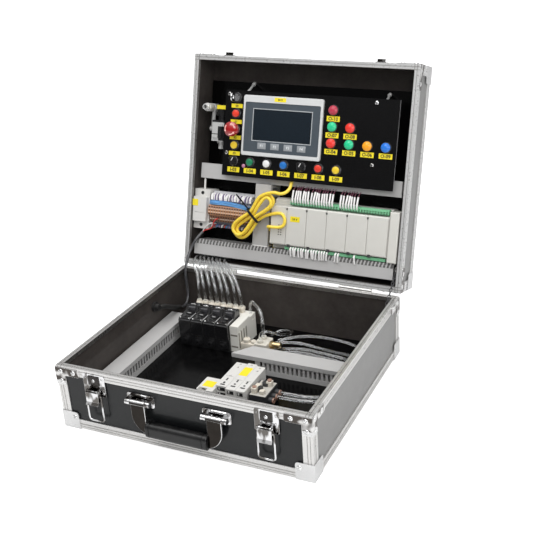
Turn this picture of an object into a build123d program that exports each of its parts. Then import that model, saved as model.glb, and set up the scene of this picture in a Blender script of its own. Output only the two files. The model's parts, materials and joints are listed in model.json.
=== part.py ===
from build123d import *
import os
from math import asin, cos, pi, radians, sin, sqrt, tan

# Flight case
case_width = 420.0
case_depth = 380.0
base_height = 108.0
lid_height = 70.0
lid_opening = 107.0
panel_wall = 6.0
skin = 1.5
rim_leg = 14.0
rim_lip = 7.0
edge_leg = 16.0
groove_depth = 0.5
groove_width = 1.0
groove_count = 2
rim_gap = 0.4

# Corner fittings
cap_leg = 30.0
cap_skin = 1.5
cap_round = 5.0
plate_skin = 1.2
plate_reach = 42.0
plate_height = 13.0
plate_tab = 15.0
plate_drop = 30.0
plate_below_rim = 2.5

# Hinges and the chains that hold the lid open
knuckle_radius = 3.2
pin_radius = 1.5
pin_clearance = 0.05
hinge_setback = 0.3
hinge_width = 60.0
hinge_spacing = 260.0
knuckle_gap = 0.4
leaf_length = 12.5
leaf_skin = 1.2
chain_wire = 1.3
chain_link_length = 9.0
chain_link_width = 5.4
chain_inset = 5.0
chain_base_back = 42.0
chain_base_down = 16.0
chain_lid_up = 37.2
chain_lid_in = 12.5
eye_radius = 3.4
eye_wire = 1.2
eye_out = 5.2
eye_foot = 3.4

# Draw latches
latch_spacing = 284.0
latch_width = 38.0
latch_top = 4.0
latch_length = 36.0
latch_ear = 2.0
latch_ear_round = 2.5
lever_play = 0.3
lever_width = 22.0
lever_length = 22.0
lever_skin = 1.4
lever_pivot_down = 30.0
lever_pivot_out = 6.5
bail_pivot_drop = 7.5
bail_wire = 1.5
bail_width = 29.0
bail_length = 43.5
bail_bend = 5.0
keeper_width = 20.0
keeper_length = 14.0
keeper_hook = 4.8

# Carrying handle
handle_span = 126.0
bracket_width = 46.0
bracket_height = 20.0
bracket_down = 32.0
handle_pin_out = 8.0
handle_pin_radius = 2.5
handle_eye_radius = 4.3
arm_width = 24.0
strap_thick = 4.0
strap_drop = 52.5
strap_bend = 33.0
strap_bar = 20.0
grip_out = 9.2
grip_drop = 41.5
grip_height = 24.0
grip_depth = 17.0
grip_length = 102.0

# Plates that carry the apparatus
plate_thick = 3.0
plate_margin = 3.0
base_plate_lift = 4.5
lid_plate_lift = 5.0
lid_plate_top = 338.0
lid_plate_bottom = 12.0

# Slotted wiring ducts
duct_wall = 1.2
duct_slot = 4.2
duct_pitch = 8.0
duct_floor_band = 9.0
cover_lip = 6.0
cover_skin = 1.4
cover_gap = 0.15
base_duct_width = 29.0
base_duct_height = 32.0
lid_duct_width = 24.0
lid_duct_height = 48.0

# Lid apparatus, measured from the hinge edge of the lid
lower_duct_at = 32.5
upper_duct_at = 173.0
upper_duct_height = 38.0
upright_duct_at = -62.0
upright_duct_width = 27.0
rail_width = 35.0
rail_height = 7.5
rail_skin = 1.2
rail_seat = 0.3
terminal_left = -168.0
terminal_right = -80.0
terminal_pitch = 5.2
terminal_bottom = 70.0
terminal_top = 137.0
relay_left = -201.0
relay_right = -170.0
plc_left = -38.0
plc_right = 198.0
plc_bottom = 55.0
plc_top = 126.0
plc_height = 46.5
end_cap_width = 17.0
door_count = 5
door_gap = 1.0
strip_height = 9.5
strip_pitch = 5.0

# Control panel and what is on it
panel_left = -144.0
panel_right = 181.0
panel_bottom = 169.0
panel_top = 321.0
panel_front = 66.0
standoff_radius = 4.0
standoff_inset = 7.0
standoff_right = 41.0
standoff_low = 41.0
hmi_left = -106.0
hmi_right = 46.0
hmi_bottom = 208.0
hmi_top = 314.0
hmi_proud = 5.0
hmi_body_inset = 8.0
hmi_body_depth = 34.0
screen_left = -85.0
screen_right = 26.0
screen_bottom = 236.0
screen_top = 290.0
switch_hole = 8.0
collar_radius = 9.0
collar_proud = 3.0
collar_body = 20.0
cap_radius = 6.3
cap_proud = 6.0
cap_clearance = 0.3
column_x = -121.0
row_y = 196.0
row_pitch = 33.0
column_pitch = 28.0
stop_radius = 13.0
stop_proud = 25.0
stop_travel = 4.5
stop_stem_radius = 4.0
stop_bore_depth = 8.0
light_x = 64.0
light_y = 241.0
light_radius = 9.5
light_proud = 9.0

# Compressed-air pieces
regulator_x = -166.0
regulator_y = 250.0
coupler_x = -184.0
coupler_y = 288.0
coupler_bore = 3.75
sleeve_radius = 6.6
sleeve_travel = 4.0
valve_pitch = 24.4
valve_count = 4
valve_width = 22.6
valve_left = -154.0
valve_front = 258.0
valve_back = 310.0
valve_top = 66.0
manifold_height = 24.0
port_back = 332.0
tube_radius = 3.0
tube_pitch = 9.0
tube_lid_left = -187.0
cable_radius = 2.5

# Patch cable, wound into a hank that hangs before the terminals
patch_radius = 2.9
hank_x = -70.0
hank_y = 103.0
hank_turn = -43.0
hank_turns = 3
hank_pitch = 6.7
hank_waist = 11.75
hank_lobe = 17.0
hank_lobe_at = 33.0
hank_reach = 52.0
hank_start_x = 20.5
hank_start_y = 27.0
hank_clearance = 0.3
tie_width = 4.4
tie_skin = 1.1
tie_clearance = 0.3
tie_tail = 34.0
plug_x = -5.5
plug_length = 12.0

# Fixed relations
wall = skin + panel_wall
rim_width = wall + skin
hinge_offset = knuckle_radius + hinge_setback
swing = radians(lid_opening)
base_plate_top = wall + base_plate_lift + plate_thick
lid_plate_face = wall + lid_plate_lift + plate_thick
handle_reach = grip_out + grip_depth / 2
rear_reach = (
    case_depth + hinge_offset
    - (hinge_offset + case_depth + cap_skin) * cos(swing)
    + (lid_height + cap_skin + rim_gap / 2) * sin(swing)
)
front_y = (handle_reach - rear_reach) / 2

BASE = Plane(origin=(0, front_y, cap_skin))
HINGE = Plane(
    origin=(0, front_y + case_depth + hinge_offset, cap_skin + base_height + rim_gap / 2),
    x_dir=(1, 0, 0),
    z_dir=(0, -sin(swing), -cos(swing)),
)
LID = Plane(
    origin=HINGE.from_local_coords(Vector(0, hinge_offset, -rim_gap / 2 - lid_height)),
    x_dir=(1, 0, 0),
    z_dir=HINGE.z_dir,
)


def at(frame, x, y, z):
    """Give the world point of a point in a frame."""
    return frame.from_local_coords(Vector(x, y, z))


def turned(frame, x, y, z, x_dir, z_dir):
    """Give a plane at a point of a frame, with directions in that frame's axes."""
    origin = at(frame, x, y, z)
    return Plane(
        origin=origin,
        x_dir=at(frame, x + x_dir[0], y + x_dir[1], z + x_dir[2]) - origin,
        z_dir=at(frame, x + z_dir[0], y + z_dir[1], z + z_dir[2]) - origin,
    )


def slab(plane, left, right, low, high, thick, mode=Mode.ADD):
    """Extrude a rectangle, given by its sides, along the plane's normal."""
    with BuildSketch(plane) as outline:
        with Locations(((left + right) / 2, (low + high) / 2)):
            Rectangle(right - left, high - low)
    extrude(outline.sketch, amount=thick, mode=mode)


def rounded_slab(plane, left, right, low, high, corner, thick, mode=Mode.ADD):
    """Extrude a rectangle with rounded corners along the plane's normal."""
    with BuildSketch(plane) as outline:
        with Locations(((left + right) / 2, (low + high) / 2)):
            RectangleRounded(right - left, high - low, corner)
    extrude(outline.sketch, amount=thick, mode=mode)


def disc(plane, x, y, radius, thick, mode=Mode.ADD):
    """Extrude a circle along the plane's normal."""
    with BuildSketch(plane) as outline:
        with Locations((x, y)):
            Circle(radius)
    extrude(outline.sketch, amount=thick, mode=mode)


def plate(plane, left, right, low, high, thick):
    """Make one rectangular board."""
    with BuildPart() as board:
        slab(plane, left, right, low, high, thick)
    return board.part


def dome(radius, low, top):
    """Draw the arc of a shallow dome from its rim to its crown on the axis."""
    rise = top - low
    sphere = (radius**2 + rise**2) / (2 * rise)
    half = asin(radius / sphere) / 2
    ThreePointArc(
        (radius, low), (sphere * sin(half), top - sphere + sphere * cos(half)), (0, top)
    )


def save(name, *pieces):
    """Write a node whose separate solids share one file."""
    group = pieces[0] if len(pieces) == 1 else Compound(children=list(pieces))
    group.label = name
    export_step(group, f"parts/{name}.step")


def tray_panels(frame, height):
    """Make the floor and the four walls of one half of the case."""
    side = case_width / 2 - skin
    top = height - skin
    floor_top = frame.offset(wall)
    rise = top - wall
    return [
        plate(frame.offset(skin), -side, side, skin, case_depth - skin, panel_wall),
        plate(floor_top, -side, side, skin, wall, rise),
        plate(floor_top, -side, side, case_depth - wall, case_depth - skin, rise),
        plate(floor_top, -side, -side + panel_wall, wall, case_depth - wall, rise),
        plate(floor_top, side - panel_wall, side, wall, case_depth - wall, rise),
    ]


def tray_sides(frame, level):
    """Give section planes in the middle of the four sides: x outward, y up."""
    middle = case_depth / 2
    half = case_width / 2
    return [
        (turned(frame, 0, 0, level, (0, -1, 0), (-1, 0, 0)), case_width),
        (turned(frame, 0, case_depth, level, (0, 1, 0), (1, 0, 0)), case_width),
        (turned(frame, -half, middle, level, (-1, 0, 0), (0, 1, 0)), case_depth),
        (turned(frame, half, middle, level, (1, 0, 0), (0, -1, 0)), case_depth),
    ]


def mitre(section, length):
    """Cut both ends of the bar in hand at 45 degrees, outer edge longest."""
    for end in (-1, 1):
        corner = at(section, 0, 0, end * length / 2)
        normal = section.z_dir * end - section.x_dir
        split(bisect_by=Plane(origin=corner, z_dir=normal), keep=Keep.BOTTOM)


def grooves(last, count=groove_count, across=False):
    """Cut lengthwise grooves into the outer face of an extrusion's section."""
    for index in range(1, count + 1):
        mark = last * index / (count + 1)
        with Locations((mark, 0) if across else (0, mark)):
            if across:
                Rectangle(groove_width, 2 * groove_depth, mode=Mode.SUBTRACT)
            else:
                Rectangle(2 * groove_depth, groove_width, mode=Mode.SUBTRACT)


def rim_bar(section, length):
    """Make one side of the channel that caps a tray's walls."""
    with BuildPart() as bar:
        with BuildSketch(section):
            with BuildLine():
                Polyline(
                    (0, 0), (0, -rim_leg), (-skin, -rim_leg), (-skin, -skin),
                    (-wall, -skin), (-wall, -rim_lip), (-rim_width, -rim_lip),
                    (-rim_width, 0), (0, 0),
                )
            make_face()
            grooves(-rim_leg)
            grooves(-rim_width, across=True)
        extrude(amount=length / 2, both=True)
        mitre(section, length)
    return bar.part


def edge_bar(section, length):
    """Make one angle bar along an outer edge of a tray."""
    with BuildPart() as bar:
        with BuildSketch(section):
            with BuildLine():
                Polyline(
                    (0, 0), (0, edge_leg), (-skin, edge_leg), (-skin, skin),
                    (-edge_leg, skin), (-edge_leg, 0), (0, 0),
                )
            make_face()
            grooves(edge_leg, count=1)
        extrude(amount=length / 2, both=True)
        mitre(section, length)
    return bar.part


def corner_post(frame, x_side, y_side, height):
    """Make the angle bar that stands between an edge bar and the rim."""
    foot = turned(frame, x_side * case_width / 2, case_depth / 2 * (1 + y_side), edge_leg,
                  (1, 0, 0), (0, 0, 1))
    with BuildPart() as post:
        with BuildSketch(foot):
            with BuildLine():
                Polyline(
                    (0, 0), (0, -y_side * edge_leg), (-x_side * skin, -y_side * edge_leg),
                    (-x_side * skin, -y_side * skin), (-x_side * edge_leg, -y_side * skin),
                    (-x_side * edge_leg, 0), (0, 0),
                )
            make_face()
            with Locations((-x_side * edge_leg / 2, 0)):
                Rectangle(groove_width, 2 * groove_depth, mode=Mode.SUBTRACT)
            with Locations((0, -y_side * edge_leg / 2)):
                Rectangle(2 * groove_depth, groove_width, mode=Mode.SUBTRACT)
        extrude(amount=height - edge_leg - rim_leg)
    return post.part


def tray_extrusions(frame, height):
    """Make the rim, the edge bars and the corner posts of one tray."""
    bars = [rim_bar(section, length) for section, length in tray_sides(frame, height)]
    bars += [edge_bar(section, length) for section, length in tray_sides(frame, 0)]
    for x_side in (-1, 1):
        for y_side in (-1, 1):
            bars.append(corner_post(frame, x_side, y_side, height))
    return bars


def corner_cap(frame, x_side, y_side):
    """Make the pressed cap over an outer corner, rounded on its outside."""
    x_out = x_side * (case_width / 2 + cap_skin)
    y_out = case_depth / 2 + y_side * (case_depth / 2 + cap_skin)
    x_in, y_in = x_out - x_side * cap_leg, y_out - y_side * cap_leg
    x_face, y_face = x_out - x_side * cap_skin, y_out - y_side * cap_skin
    with BuildPart() as cap:
        slab(frame.offset(-cap_skin), min(x_in, x_out), max(x_in, x_out),
             min(y_in, y_out), max(y_in, y_out), cap_leg)
        corner = at(frame, x_out, y_out, -cap_skin)
        fillet(cap.edges().sort_by_distance(corner)[:3], radius=cap_skin * 0.9)
        slab(frame, min(x_in, x_face), max(x_in, x_face),
             min(y_in, y_face), max(y_in, y_face), cap_leg, mode=Mode.SUBTRACT)
        tips = [
            edge for edge in cap.edges().filter_by(GeomType.LINE)
            if abs(edge.length - cap_skin) < 0.01
        ]
        fillet(tips, radius=cap_round)
    return cap.part


def corner_plate(frame, x_side, y_side, height):
    """Make the angled plate with two tabs that ties a rim's corner to its post."""
    top = height - plate_below_rim
    x_out = x_side * case_width / 2
    y_out = case_depth / 2 * (1 + y_side)
    faces = [
        (turned(frame, x_out, y_out, top, (-x_side, 0, 0), (0, y_side, 0)), -x_side * y_side),
        (turned(frame, x_out, y_out, top, (0, -y_side, 0), (x_side, 0, 0)), x_side * y_side),
    ]
    with BuildPart() as plate_pair:
        for face, up in faces:
            with BuildSketch(face) as outline:
                with BuildLine():
                    Polyline(
                        (-plate_skin, 0), (plate_reach, 0), (plate_reach, up * plate_height),
                        (plate_tab, up * plate_height), (plate_tab, up * plate_drop),
                        (-plate_skin, up * plate_drop), (-plate_skin, 0),
                    )
                make_face()
                fillet(outline.vertices().sort_by(Axis.X)[-2:], radius=3)
            extrude(amount=plate_skin)
    return plate_pair.part


def corner_fittings(frame, height):
    """Make the caps and the angled plates of one tray."""
    corners = [(x_side, y_side) for x_side in (-1, 1) for y_side in (-1, 1)]
    pieces = [corner_cap(frame, x_side, y_side) for x_side, y_side in corners]
    pieces += [corner_plate(frame, x_side, y_side, height) for x_side, y_side in corners]
    return pieces


def hinge_leaf(face, x, outer_knuckles):
    """Make one leaf with its rolled knuckles, on the back face below the rim plane.

    The face's x runs along the hinge, its y up to the rim and its normal out.
    """
    half = hinge_width / 2
    third = hinge_width / 3
    axle = turned(face, x - half, 0, hinge_offset, (0, 0, 1), (1, 0, 0))
    with BuildPart() as leaf:
        slab(face, x - half, x + half, -leaf_length, -rim_gap, leaf_skin)
        disc(axle, 0, 0, knuckle_radius, hinge_width)
        spans = [(third, 2 * third)] if outer_knuckles else [(0, third), (2 * third, 3 * third)]
        gap = knuckle_gap if outer_knuckles else 0
        for start, end in spans:
            cut = axle.offset(start - gap)
            disc(cut, 0, 0, knuckle_radius + 1, end - start + 2 * gap, mode=Mode.SUBTRACT)
        disc(axle, 0, 0, pin_radius + pin_clearance, hinge_width, mode=Mode.SUBTRACT)
    return leaf.part


def hinge_pin(face, x):
    """Make the pin that is held in the outer knuckles."""
    axle = turned(face, x - hinge_width / 2, 0, hinge_offset, (0, 0, 1), (1, 0, 0))
    with BuildPart() as pin:
        disc(axle, 0, 0, pin_radius, hinge_width)
    return pin.part


def chain_eye(face, x, y):
    """Make a screwed eye: a foot on the wall and a ring that stands out of it."""
    with BuildPart() as eye:
        disc(face, x, y, eye_foot, 1.2)
        with BuildSketch(turned(face, x, y, eye_out + eye_radius, (0, 0, 1), (1, 0, 0))):
            Circle(eye_wire)
        revolve(axis=Axis(at(face, x, y, eye_out), face.y_dir))
    return eye.part


def base_hinge_face():
    """Give the base's back face at the rim plane: y up, normal to the back."""
    level = base_height + rim_gap / 2
    return turned(BASE, 0, case_depth, level, (-1, 0, 0), (0, 1, 0))


def lid_hinge_face():
    """Give the lid's hinge face at the rim plane: y to the mouth, normal out."""
    level = lid_height + rim_gap / 2
    return turned(LID, 0, 0, level, (1, 0, 0), (0, -1, 0))


def chain_ends():
    """Give the centres of the base's eye and the lid's eye."""
    x = case_width / 2 - wall - eye_out
    low = at(BASE, x, case_depth - chain_base_back, base_height - chain_base_down)
    high = at(LID, x, chain_lid_up, lid_height - chain_lid_in)
    return low, high


def inner_wall(frame):
    """Give the right wall's inner face: x towards the front, y up, normal inward."""
    return turned(frame, case_width / 2 - wall, 0, 0, (0, -1, 0), (-1, 0, 0))


def lid_chain():
    """Make the welded links between the eyes, each turned a quarter from the last."""
    low, high = chain_ends()
    run = high - low
    pitch_wanted = chain_link_length - 2 * chain_wire
    count = int((run.length - 2 * eye_radius) / pitch_wanted)
    along = run.normalized()
    across = Vector(1, 0, 0)
    third = along.cross(across)
    first = run.length / 2 - pitch_wanted * (count - 1) / 2
    links = []
    for index in range(count):
        centre = low + along * (first + index * pitch_wanted)
        flat = across if index % 2 else third
        half_run = (chain_link_length - chain_link_width) / 2
        radius = (chain_link_width - chain_wire) / 2
        lay = Plane(origin=centre, x_dir=along, z_dir=flat)
        with BuildPart() as link:
            with BuildLine(lay):
                link_path(half_run, radius)
            with BuildSketch(Plane(origin=lay.from_local_coords(Vector(0, radius, 0)),
                                   x_dir=lay.z_dir, z_dir=along)):
                RegularPolygon(chain_wire / 2, 8)
            sweep()
        links.append(link.part)
    return links


def link_path(half_run, radius):
    """Draw a closed path of two runs and two half circles."""
    Line((0, radius), (half_run, radius))
    ThreePointArc((half_run, radius), (half_run + radius, 0), (half_run, -radius))
    Line((half_run, -radius), (-half_run, -radius))
    ThreePointArc((-half_run, -radius), (-half_run - radius, 0), (-half_run, radius))
    Line((-half_run, radius), (0, radius))


def front_face():
    """Give the base's front face at the rim: x right, y up, normal to the front."""
    return turned(BASE, 0, 0, base_height, (1, 0, 0), (0, -1, 0))


def latch_plate(x):
    """Make a latch's back plate: pressed step over the rim and two ears for the lever."""
    face = front_face()
    half = latch_width / 2
    low = -latch_top - latch_length
    ear = lever_width / 2 - lever_skin - lever_play
    with BuildPart() as back:
        rounded_slab(face, x - half, x + half, low, -latch_top, 3, plate_skin)
        slab(face.offset(-skin), x - half + 3, x + half - 3, low + 2, -rim_leg - 0.2, skin)
        rounded_slab(face.offset(plate_skin), x - 7, x + 7, -20, -latch_top - 3, 3, 1.4)
        for start in (x + ear, x - ear + latch_ear):
            cheek = turned(face, start, -lever_pivot_down, lever_pivot_out, (0, -1, 0),
                           (-1, 0, 0))
            with BuildSketch(cheek):
                with Locations((0, (plate_skin - lever_pivot_out) / 2)):
                    Rectangle(2 * latch_ear_round, lever_pivot_out - plate_skin)
                Circle(latch_ear_round)
                Circle(pin_radius + pin_clearance, mode=Mode.SUBTRACT)
            extrude(amount=latch_ear)
    return back.part


def latch_lever(x):
    """Make the lever: a channel with its pivot pin, bail holes and a turned-out lip."""
    face = front_face()
    half = lever_width / 2
    side_plane = turned(face, x + half, -lever_pivot_down, lever_pivot_out,
                        (0, -1, 0), (-1, 0, 0))
    with BuildPart() as lever:
        with BuildSketch(side_plane):
            with BuildLine():
                Polyline(
                    (-3.0, -2.4), (-3.0, 2.4), (0, 4.2), (lever_length - 6, 4.2),
                    (lever_length - 2, 7.5), (lever_length - 1, 6.4), (lever_length - 5, 2.4),
                    (bail_pivot_drop + 3.5, -3.0), (0, -3.0), (-3.0, -2.4),
                )
            make_face()
        extrude(amount=lever_width)
        with BuildSketch(side_plane.offset(lever_skin)):
            with BuildLine():
                Polyline(
                    (-4, -4.0), (-4, 4.5), (-0.2, 4.5), (-0.2, 2.8), (lever_length - 5.5, 2.8),
                    (lever_length - 5.5, -4.0), (-4, -4.0),
                )
            make_face()
        extrude(amount=lever_width - 2 * lever_skin, mode=Mode.SUBTRACT)
        disc(side_plane.offset(-0.5), 0, 0, pin_radius, lever_width + 1.0)
        lug_plane = turned(face, x - half, -lever_pivot_down - bail_pivot_drop,
                           lever_pivot_out, (0, -1, 0), (1, 0, 0))
        disc(lug_plane, 0, 0, bail_wire + pin_clearance, lever_width, mode=Mode.SUBTRACT)
    return lever.part


def latch_bail(x):
    """Make the wire loop that hangs on the lever and catches the lid's keeper."""
    face = front_face()
    pivot = turned(face, x, -lever_pivot_down - bail_pivot_drop, lever_pivot_out,
                   (1, 0, 0), (0, 0, 1))
    half = bail_width / 2 - bail_wire
    gap = lever_width / 2 - lever_skin - 1.4
    with BuildPart() as bail:
        with BuildLine(pivot):
            FilletPolyline(
                (-gap, 0), (-half, 0), (-half, -bail_length), (half, -bail_length),
                (half, 0), (gap, 0), radius=[1.9, bail_bend, bail_bend, 1.9],
            )
        with BuildSketch(Plane(origin=at(pivot, -gap, 0, 0), z_dir=(-1, 0, 0))):
            Circle(bail_wire)
        sweep()
    return bail.part


def latch_keeper(x):
    """Make the keeper on the lid's front: a plate with a hook turned to the lid."""
    far = turned(LID, 0, case_depth, lid_height, (1, 0, 0), (0, 1, 0))
    with BuildPart() as keeper:
        half = keeper_width / 2
        rounded_slab(far, x - half, x + half, 1.5, 1.5 + keeper_length, 2, plate_skin)
        hook = turned(far, x - half + 3, 3.0, plate_skin, (0, 1, 0), (1, 0, 0))
        with BuildSketch(hook):
            with BuildLine():
                Polyline(
                    (0, 0), (0, keeper_hook), (4.2, keeper_hook), (4.2, keeper_hook - 1.2),
                    (1.4, keeper_hook - 1.2), (1.4, 0), (0, 0),
                )
            make_face()
        extrude(amount=keeper_width - 6)
    return keeper.part


def handle_bracket(x):
    """Make a bracket: a foot on the panel and two eyes that hold the handle's pin."""
    face = front_face().offset(-skin)
    half = bracket_width / 2
    low = -bracket_down - bracket_height / 2
    pin_at = skin + handle_pin_out
    with BuildPart() as bracket:
        rounded_slab(face, x - half, x + half, low, low + bracket_height, 4, 1.6)
        for side in (-1, 1):
            inner = x + side * (arm_width / 2 + 0.5)
            cheek = turned(face, inner, -bracket_down, 0, (0, 1, 0), (side, 0, 0))
            with BuildSketch(cheek):
                with Locations((0, side * pin_at / 2)):
                    Rectangle(9, pin_at)
                with Locations((0, side * pin_at)):
                    Circle(4.5)
            extrude(amount=8)
        hole = turned(face, x - half, -bracket_down, pin_at, (0, 1, 0), (1, 0, 0))
        disc(hole, 0, 0, handle_pin_radius + pin_clearance, bracket_width, mode=Mode.SUBTRACT)
    return bracket.part


def handle_strap():
    """Make the U-shaped strap with its rounded corners, two eyes and their pins."""
    face = front_face()
    low = -bracket_down - strap_drop
    sill = low + strap_bar
    outer = (handle_span + arm_width) / 2
    inner = (handle_span - arm_width) / 2
    with BuildPart() as strap:
        with BuildSketch(face.offset(grip_out - strap_thick / 2)):
            with BuildLine():
                Polyline(
                    (-outer, -bracket_down), (-outer, low), (outer, low), (outer, -bracket_down),
                    (inner, -bracket_down), (inner, sill), (-inner, sill),
                    (-inner, -bracket_down), (-outer, -bracket_down),
                )
            make_face()
        extrude(amount=strap_thick)
        fillet(strap.edges().filter_by(Axis.Y).sort_by(Axis.Z)[2:4], radius=2)
        fillet(strap.edges().filter_by(Axis.Y).sort_by(Axis.Z)[:2], radius=strap_bend)
        fillet(strap.faces().sort_by(Axis.Y)[0].edges(), radius=1.4)
        for side in (-1, 1):
            start = side * handle_span / 2 - arm_width / 2
            pin = turned(face, start, -bracket_down, handle_pin_out, (0, 1, 0), (1, 0, 0))
            disc(pin, 0, 0, handle_eye_radius, arm_width)
            disc(pin.offset(-8.5), 0, 0, handle_pin_radius, arm_width + 17)
    return strap.part


def handle_grip(strap):
    """Make the moulded grip that is closed round the strap's bar."""
    face = front_face()
    middle = turned(face, 0, -bracket_down - grip_drop, grip_out, (0, 1, 0), (1, 0, 0))
    with BuildPart() as grip:
        with BuildSketch(middle.offset(-grip_length / 2)):
            RectangleRounded(grip_height, grip_depth, 7.5)
        extrude(amount=grip_length)
        fillet(grip.faces().filter_by(Axis.X).edges(), radius=1.5)
        for side in (-1, 1):
            with BuildSketch(middle.offset(side * (grip_length / 2 - 7))):
                RectangleRounded(grip_height + 2, grip_depth + 2, 8.5)
                RectangleRounded(grip_height - 1.4, grip_depth - 1.4, 6.8, mode=Mode.SUBTRACT)
            extrude(amount=1.2, both=True, mode=Mode.SUBTRACT)
        add(strap, mode=Mode.SUBTRACT)
    return grip.part


def apparatus_plate(frame, low, high, lift):
    """Make a mounting plate with its spacers on the tray's floor."""
    side = case_width / 2 - wall - plate_margin
    seat = frame.offset(wall + lift)
    feet = [(x, y) for x in (-side + 12, side - 12) for y in (low + 12, high - 12)]
    with BuildPart() as board:
        slab(seat, -side, side, low, high, plate_thick)
        for x, y in feet:
            disc(frame.offset(wall), x, y, 5, lift)
    return board.part


def wiring_duct(seat, length, width, height, notch=None):
    """Make a duct body: a channel whose walls are cut into fingers.

    A notch is where a finger is broken out of the far wall for a thick cable.
    """
    depth = height - cover_skin
    end = turned(seat, 0, 0, 0, (0, 1, 0), (1, 0, 0))
    side = turned(seat, 0, -width / 2, 0, (1, 0, 0), (0, -1, 0))
    count = int((length - duct_pitch) / duct_pitch)
    first = (length - duct_pitch * (count - 1)) / 2
    slot_low = duct_floor_band
    slot_high = depth - cover_lip - 1.0
    with BuildPart() as duct:
        with BuildSketch(end):
            with Locations((0, depth / 2)):
                Rectangle(width, depth)
            with Locations((0, depth / 2 + duct_wall)):
                Rectangle(width - 2 * duct_wall, depth, mode=Mode.SUBTRACT)
        extrude(amount=length)
        with BuildSketch(side):
            with Locations(*[(first + duct_pitch * k, (slot_low + slot_high) / 2)
                             for k in range(count)]):
                Rectangle(duct_slot, slot_high - slot_low)
        extrude(amount=-width, mode=Mode.SUBTRACT)
        if notch is not None:
            slab(side.offset(-width), notch - 3.8, notch + 3.8, slot_low, slot_high, 2,
                 mode=Mode.SUBTRACT)
    return duct.part


def duct_cover(seat, start, length, width, height, pointed=0.0):
    """Make the snap-on cover, with one end mitred to a point if asked."""
    end = turned(seat, start, 0, height - cover_skin - cover_lip, (0, 1, 0), (1, 0, 0))
    outer = width + 2 * (cover_gap + cover_skin)
    with BuildPart() as cover:
        with BuildSketch(end):
            with Locations((0, (cover_lip + cover_skin) / 2)):
                Rectangle(outer, cover_lip + cover_skin)
            with Locations((0, cover_lip / 2)):
                Rectangle(outer - 2 * cover_skin, cover_lip, mode=Mode.SUBTRACT)
        extrude(amount=length)
        if pointed:
            tip = at(seat, start, -outer / 2, 0)
            shoulder = at(seat, start + pointed, outer / 2, 0)
            up = at(seat, 0, 0, 1) - at(seat, 0, 0, 0)
            cut = Plane(origin=tip, z_dir=up.cross(shoulder - tip))
            split(bisect_by=cut, keep=Keep.BOTTOM)
    return cover.part


def base_ducts():
    """Make the two ducts of the base: along the left wall, and across."""
    left = turned(BASE, -case_width / 2 + wall + 5 + base_duct_width / 2, 14, base_plate_top,
                  (0, 1, 0), (0, 0, 1))
    length = 296.0
    across = turned(BASE, 16, 227, base_plate_top, (1, 0, 0), (0, 0, 1))
    across_length = 158.0
    overhang = 42.0
    return [
        wiring_duct(left, length, base_duct_width, base_duct_height),
        duct_cover(left, 0, length, base_duct_width, base_duct_height),
        wiring_duct(across, across_length, base_duct_width, base_duct_height),
        duct_cover(across, -overhang, across_length + overhang, base_duct_width,
                   base_duct_height, pointed=25.0),
    ]


def lid_ducts():
    """Make the lid's lower, upper and upright ducts."""
    half = case_width / 2 - wall - 9.5
    lower = turned(LID, -half, lower_duct_at, lid_plate_face, (1, 0, 0), (0, 0, 1))
    upper = turned(LID, -half, upper_duct_at, lid_plate_face, (1, 0, 0), (0, 0, 1))
    low_end = lower_duct_at + lid_duct_width / 2 + cover_skin + cover_gap + 0.3
    high_end = upper_duct_at - lid_duct_width / 2 - cover_skin - cover_gap - 0.3
    upright = turned(LID, upright_duct_at, low_end, lid_plate_face, (0, 1, 0), (0, 0, 1))
    rise = high_end - low_end
    return [
        wiring_duct(lower, 2 * half, lid_duct_width, lid_duct_height,
                    notch=patch_gap_x() + half),
        duct_cover(lower, 0, 2 * half, lid_duct_width, lid_duct_height),
        wiring_duct(upper, 2 * half, lid_duct_width, upper_duct_height),
        duct_cover(upper, 0, 2 * half, lid_duct_width, upper_duct_height),
        wiring_duct(upright, rise, upright_duct_width, lid_duct_height - 4),
        duct_cover(upright, 0, rise, upright_duct_width, lid_duct_height - 4),
    ]


def din_rail(left, right, y):
    """Make a top-hat rail on the lid's mounting plate."""
    end = turned(LID, left, y, lid_plate_face, (0, 1, 0), (1, 0, 0))
    half = rail_width / 2
    waist = half - 4.0
    with BuildPart() as rail:
        with BuildSketch(end):
            with BuildLine():
                Polyline(
                    (-half, rail_height), (-waist, rail_height), (-waist, rail_skin),
                    (waist, rail_skin), (waist, rail_height), (half, rail_height),
                    (half, rail_height - rail_skin), (waist + rail_skin, rail_height - rail_skin),
                    (waist + rail_skin, 0), (-waist - rail_skin, 0),
                    (-waist - rail_skin, rail_height - rail_skin),
                    (-half, rail_height - rail_skin), (-half, rail_height),
                )
            make_face()
        extrude(amount=right - left)
    return rail.part


def terminal_slice(x):
    """Make one multi-level terminal: a stepped slice with a port on each level."""
    seat = turned(LID, x, 0, lid_plate_face + rail_height + rail_seat, (0, 1, 0), (1, 0, 0))
    middle = (terminal_bottom + terminal_top) / 2
    low, high = terminal_bottom, terminal_top
    with BuildPart() as terminal:
        with BuildSketch(seat):
            with BuildLine():
                Polyline(
                    (low + 6, 0), (high - 6, 0), (high - 4, 10), (high, 12), (high, 22),
                    (high - 11, 24), (high - 13, 32), (high - 24, 34), (high - 26, 40),
                    (middle + 2, 42), (middle - 6, 42), (low + 24, 40), (low + 22, 34),
                    (low + 12, 32), (low + 10, 24), (low, 22), (low, 12), (low + 4, 10),
                    (low + 6, 0),
                )
            make_face()
        extrude(amount=terminal_pitch - 0.35)
        ports = [(high - 5.5, 25), (high - 18.5, 35), (low + 5.5, 25), (low + 17, 35)]
        for y, level in ports:
            hole = turned(LID, x + terminal_pitch / 2, y, seat_level(level), (1, 0, 0), (0, 0, 1))
            slab(hole, -1.3, 1.3, -1.6, 1.6, -9, mode=Mode.SUBTRACT)
    return terminal.part


def seat_level(level):
    """Give the lid height of a level on the terminals."""
    return lid_plate_face + rail_height + rail_seat + level


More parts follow.
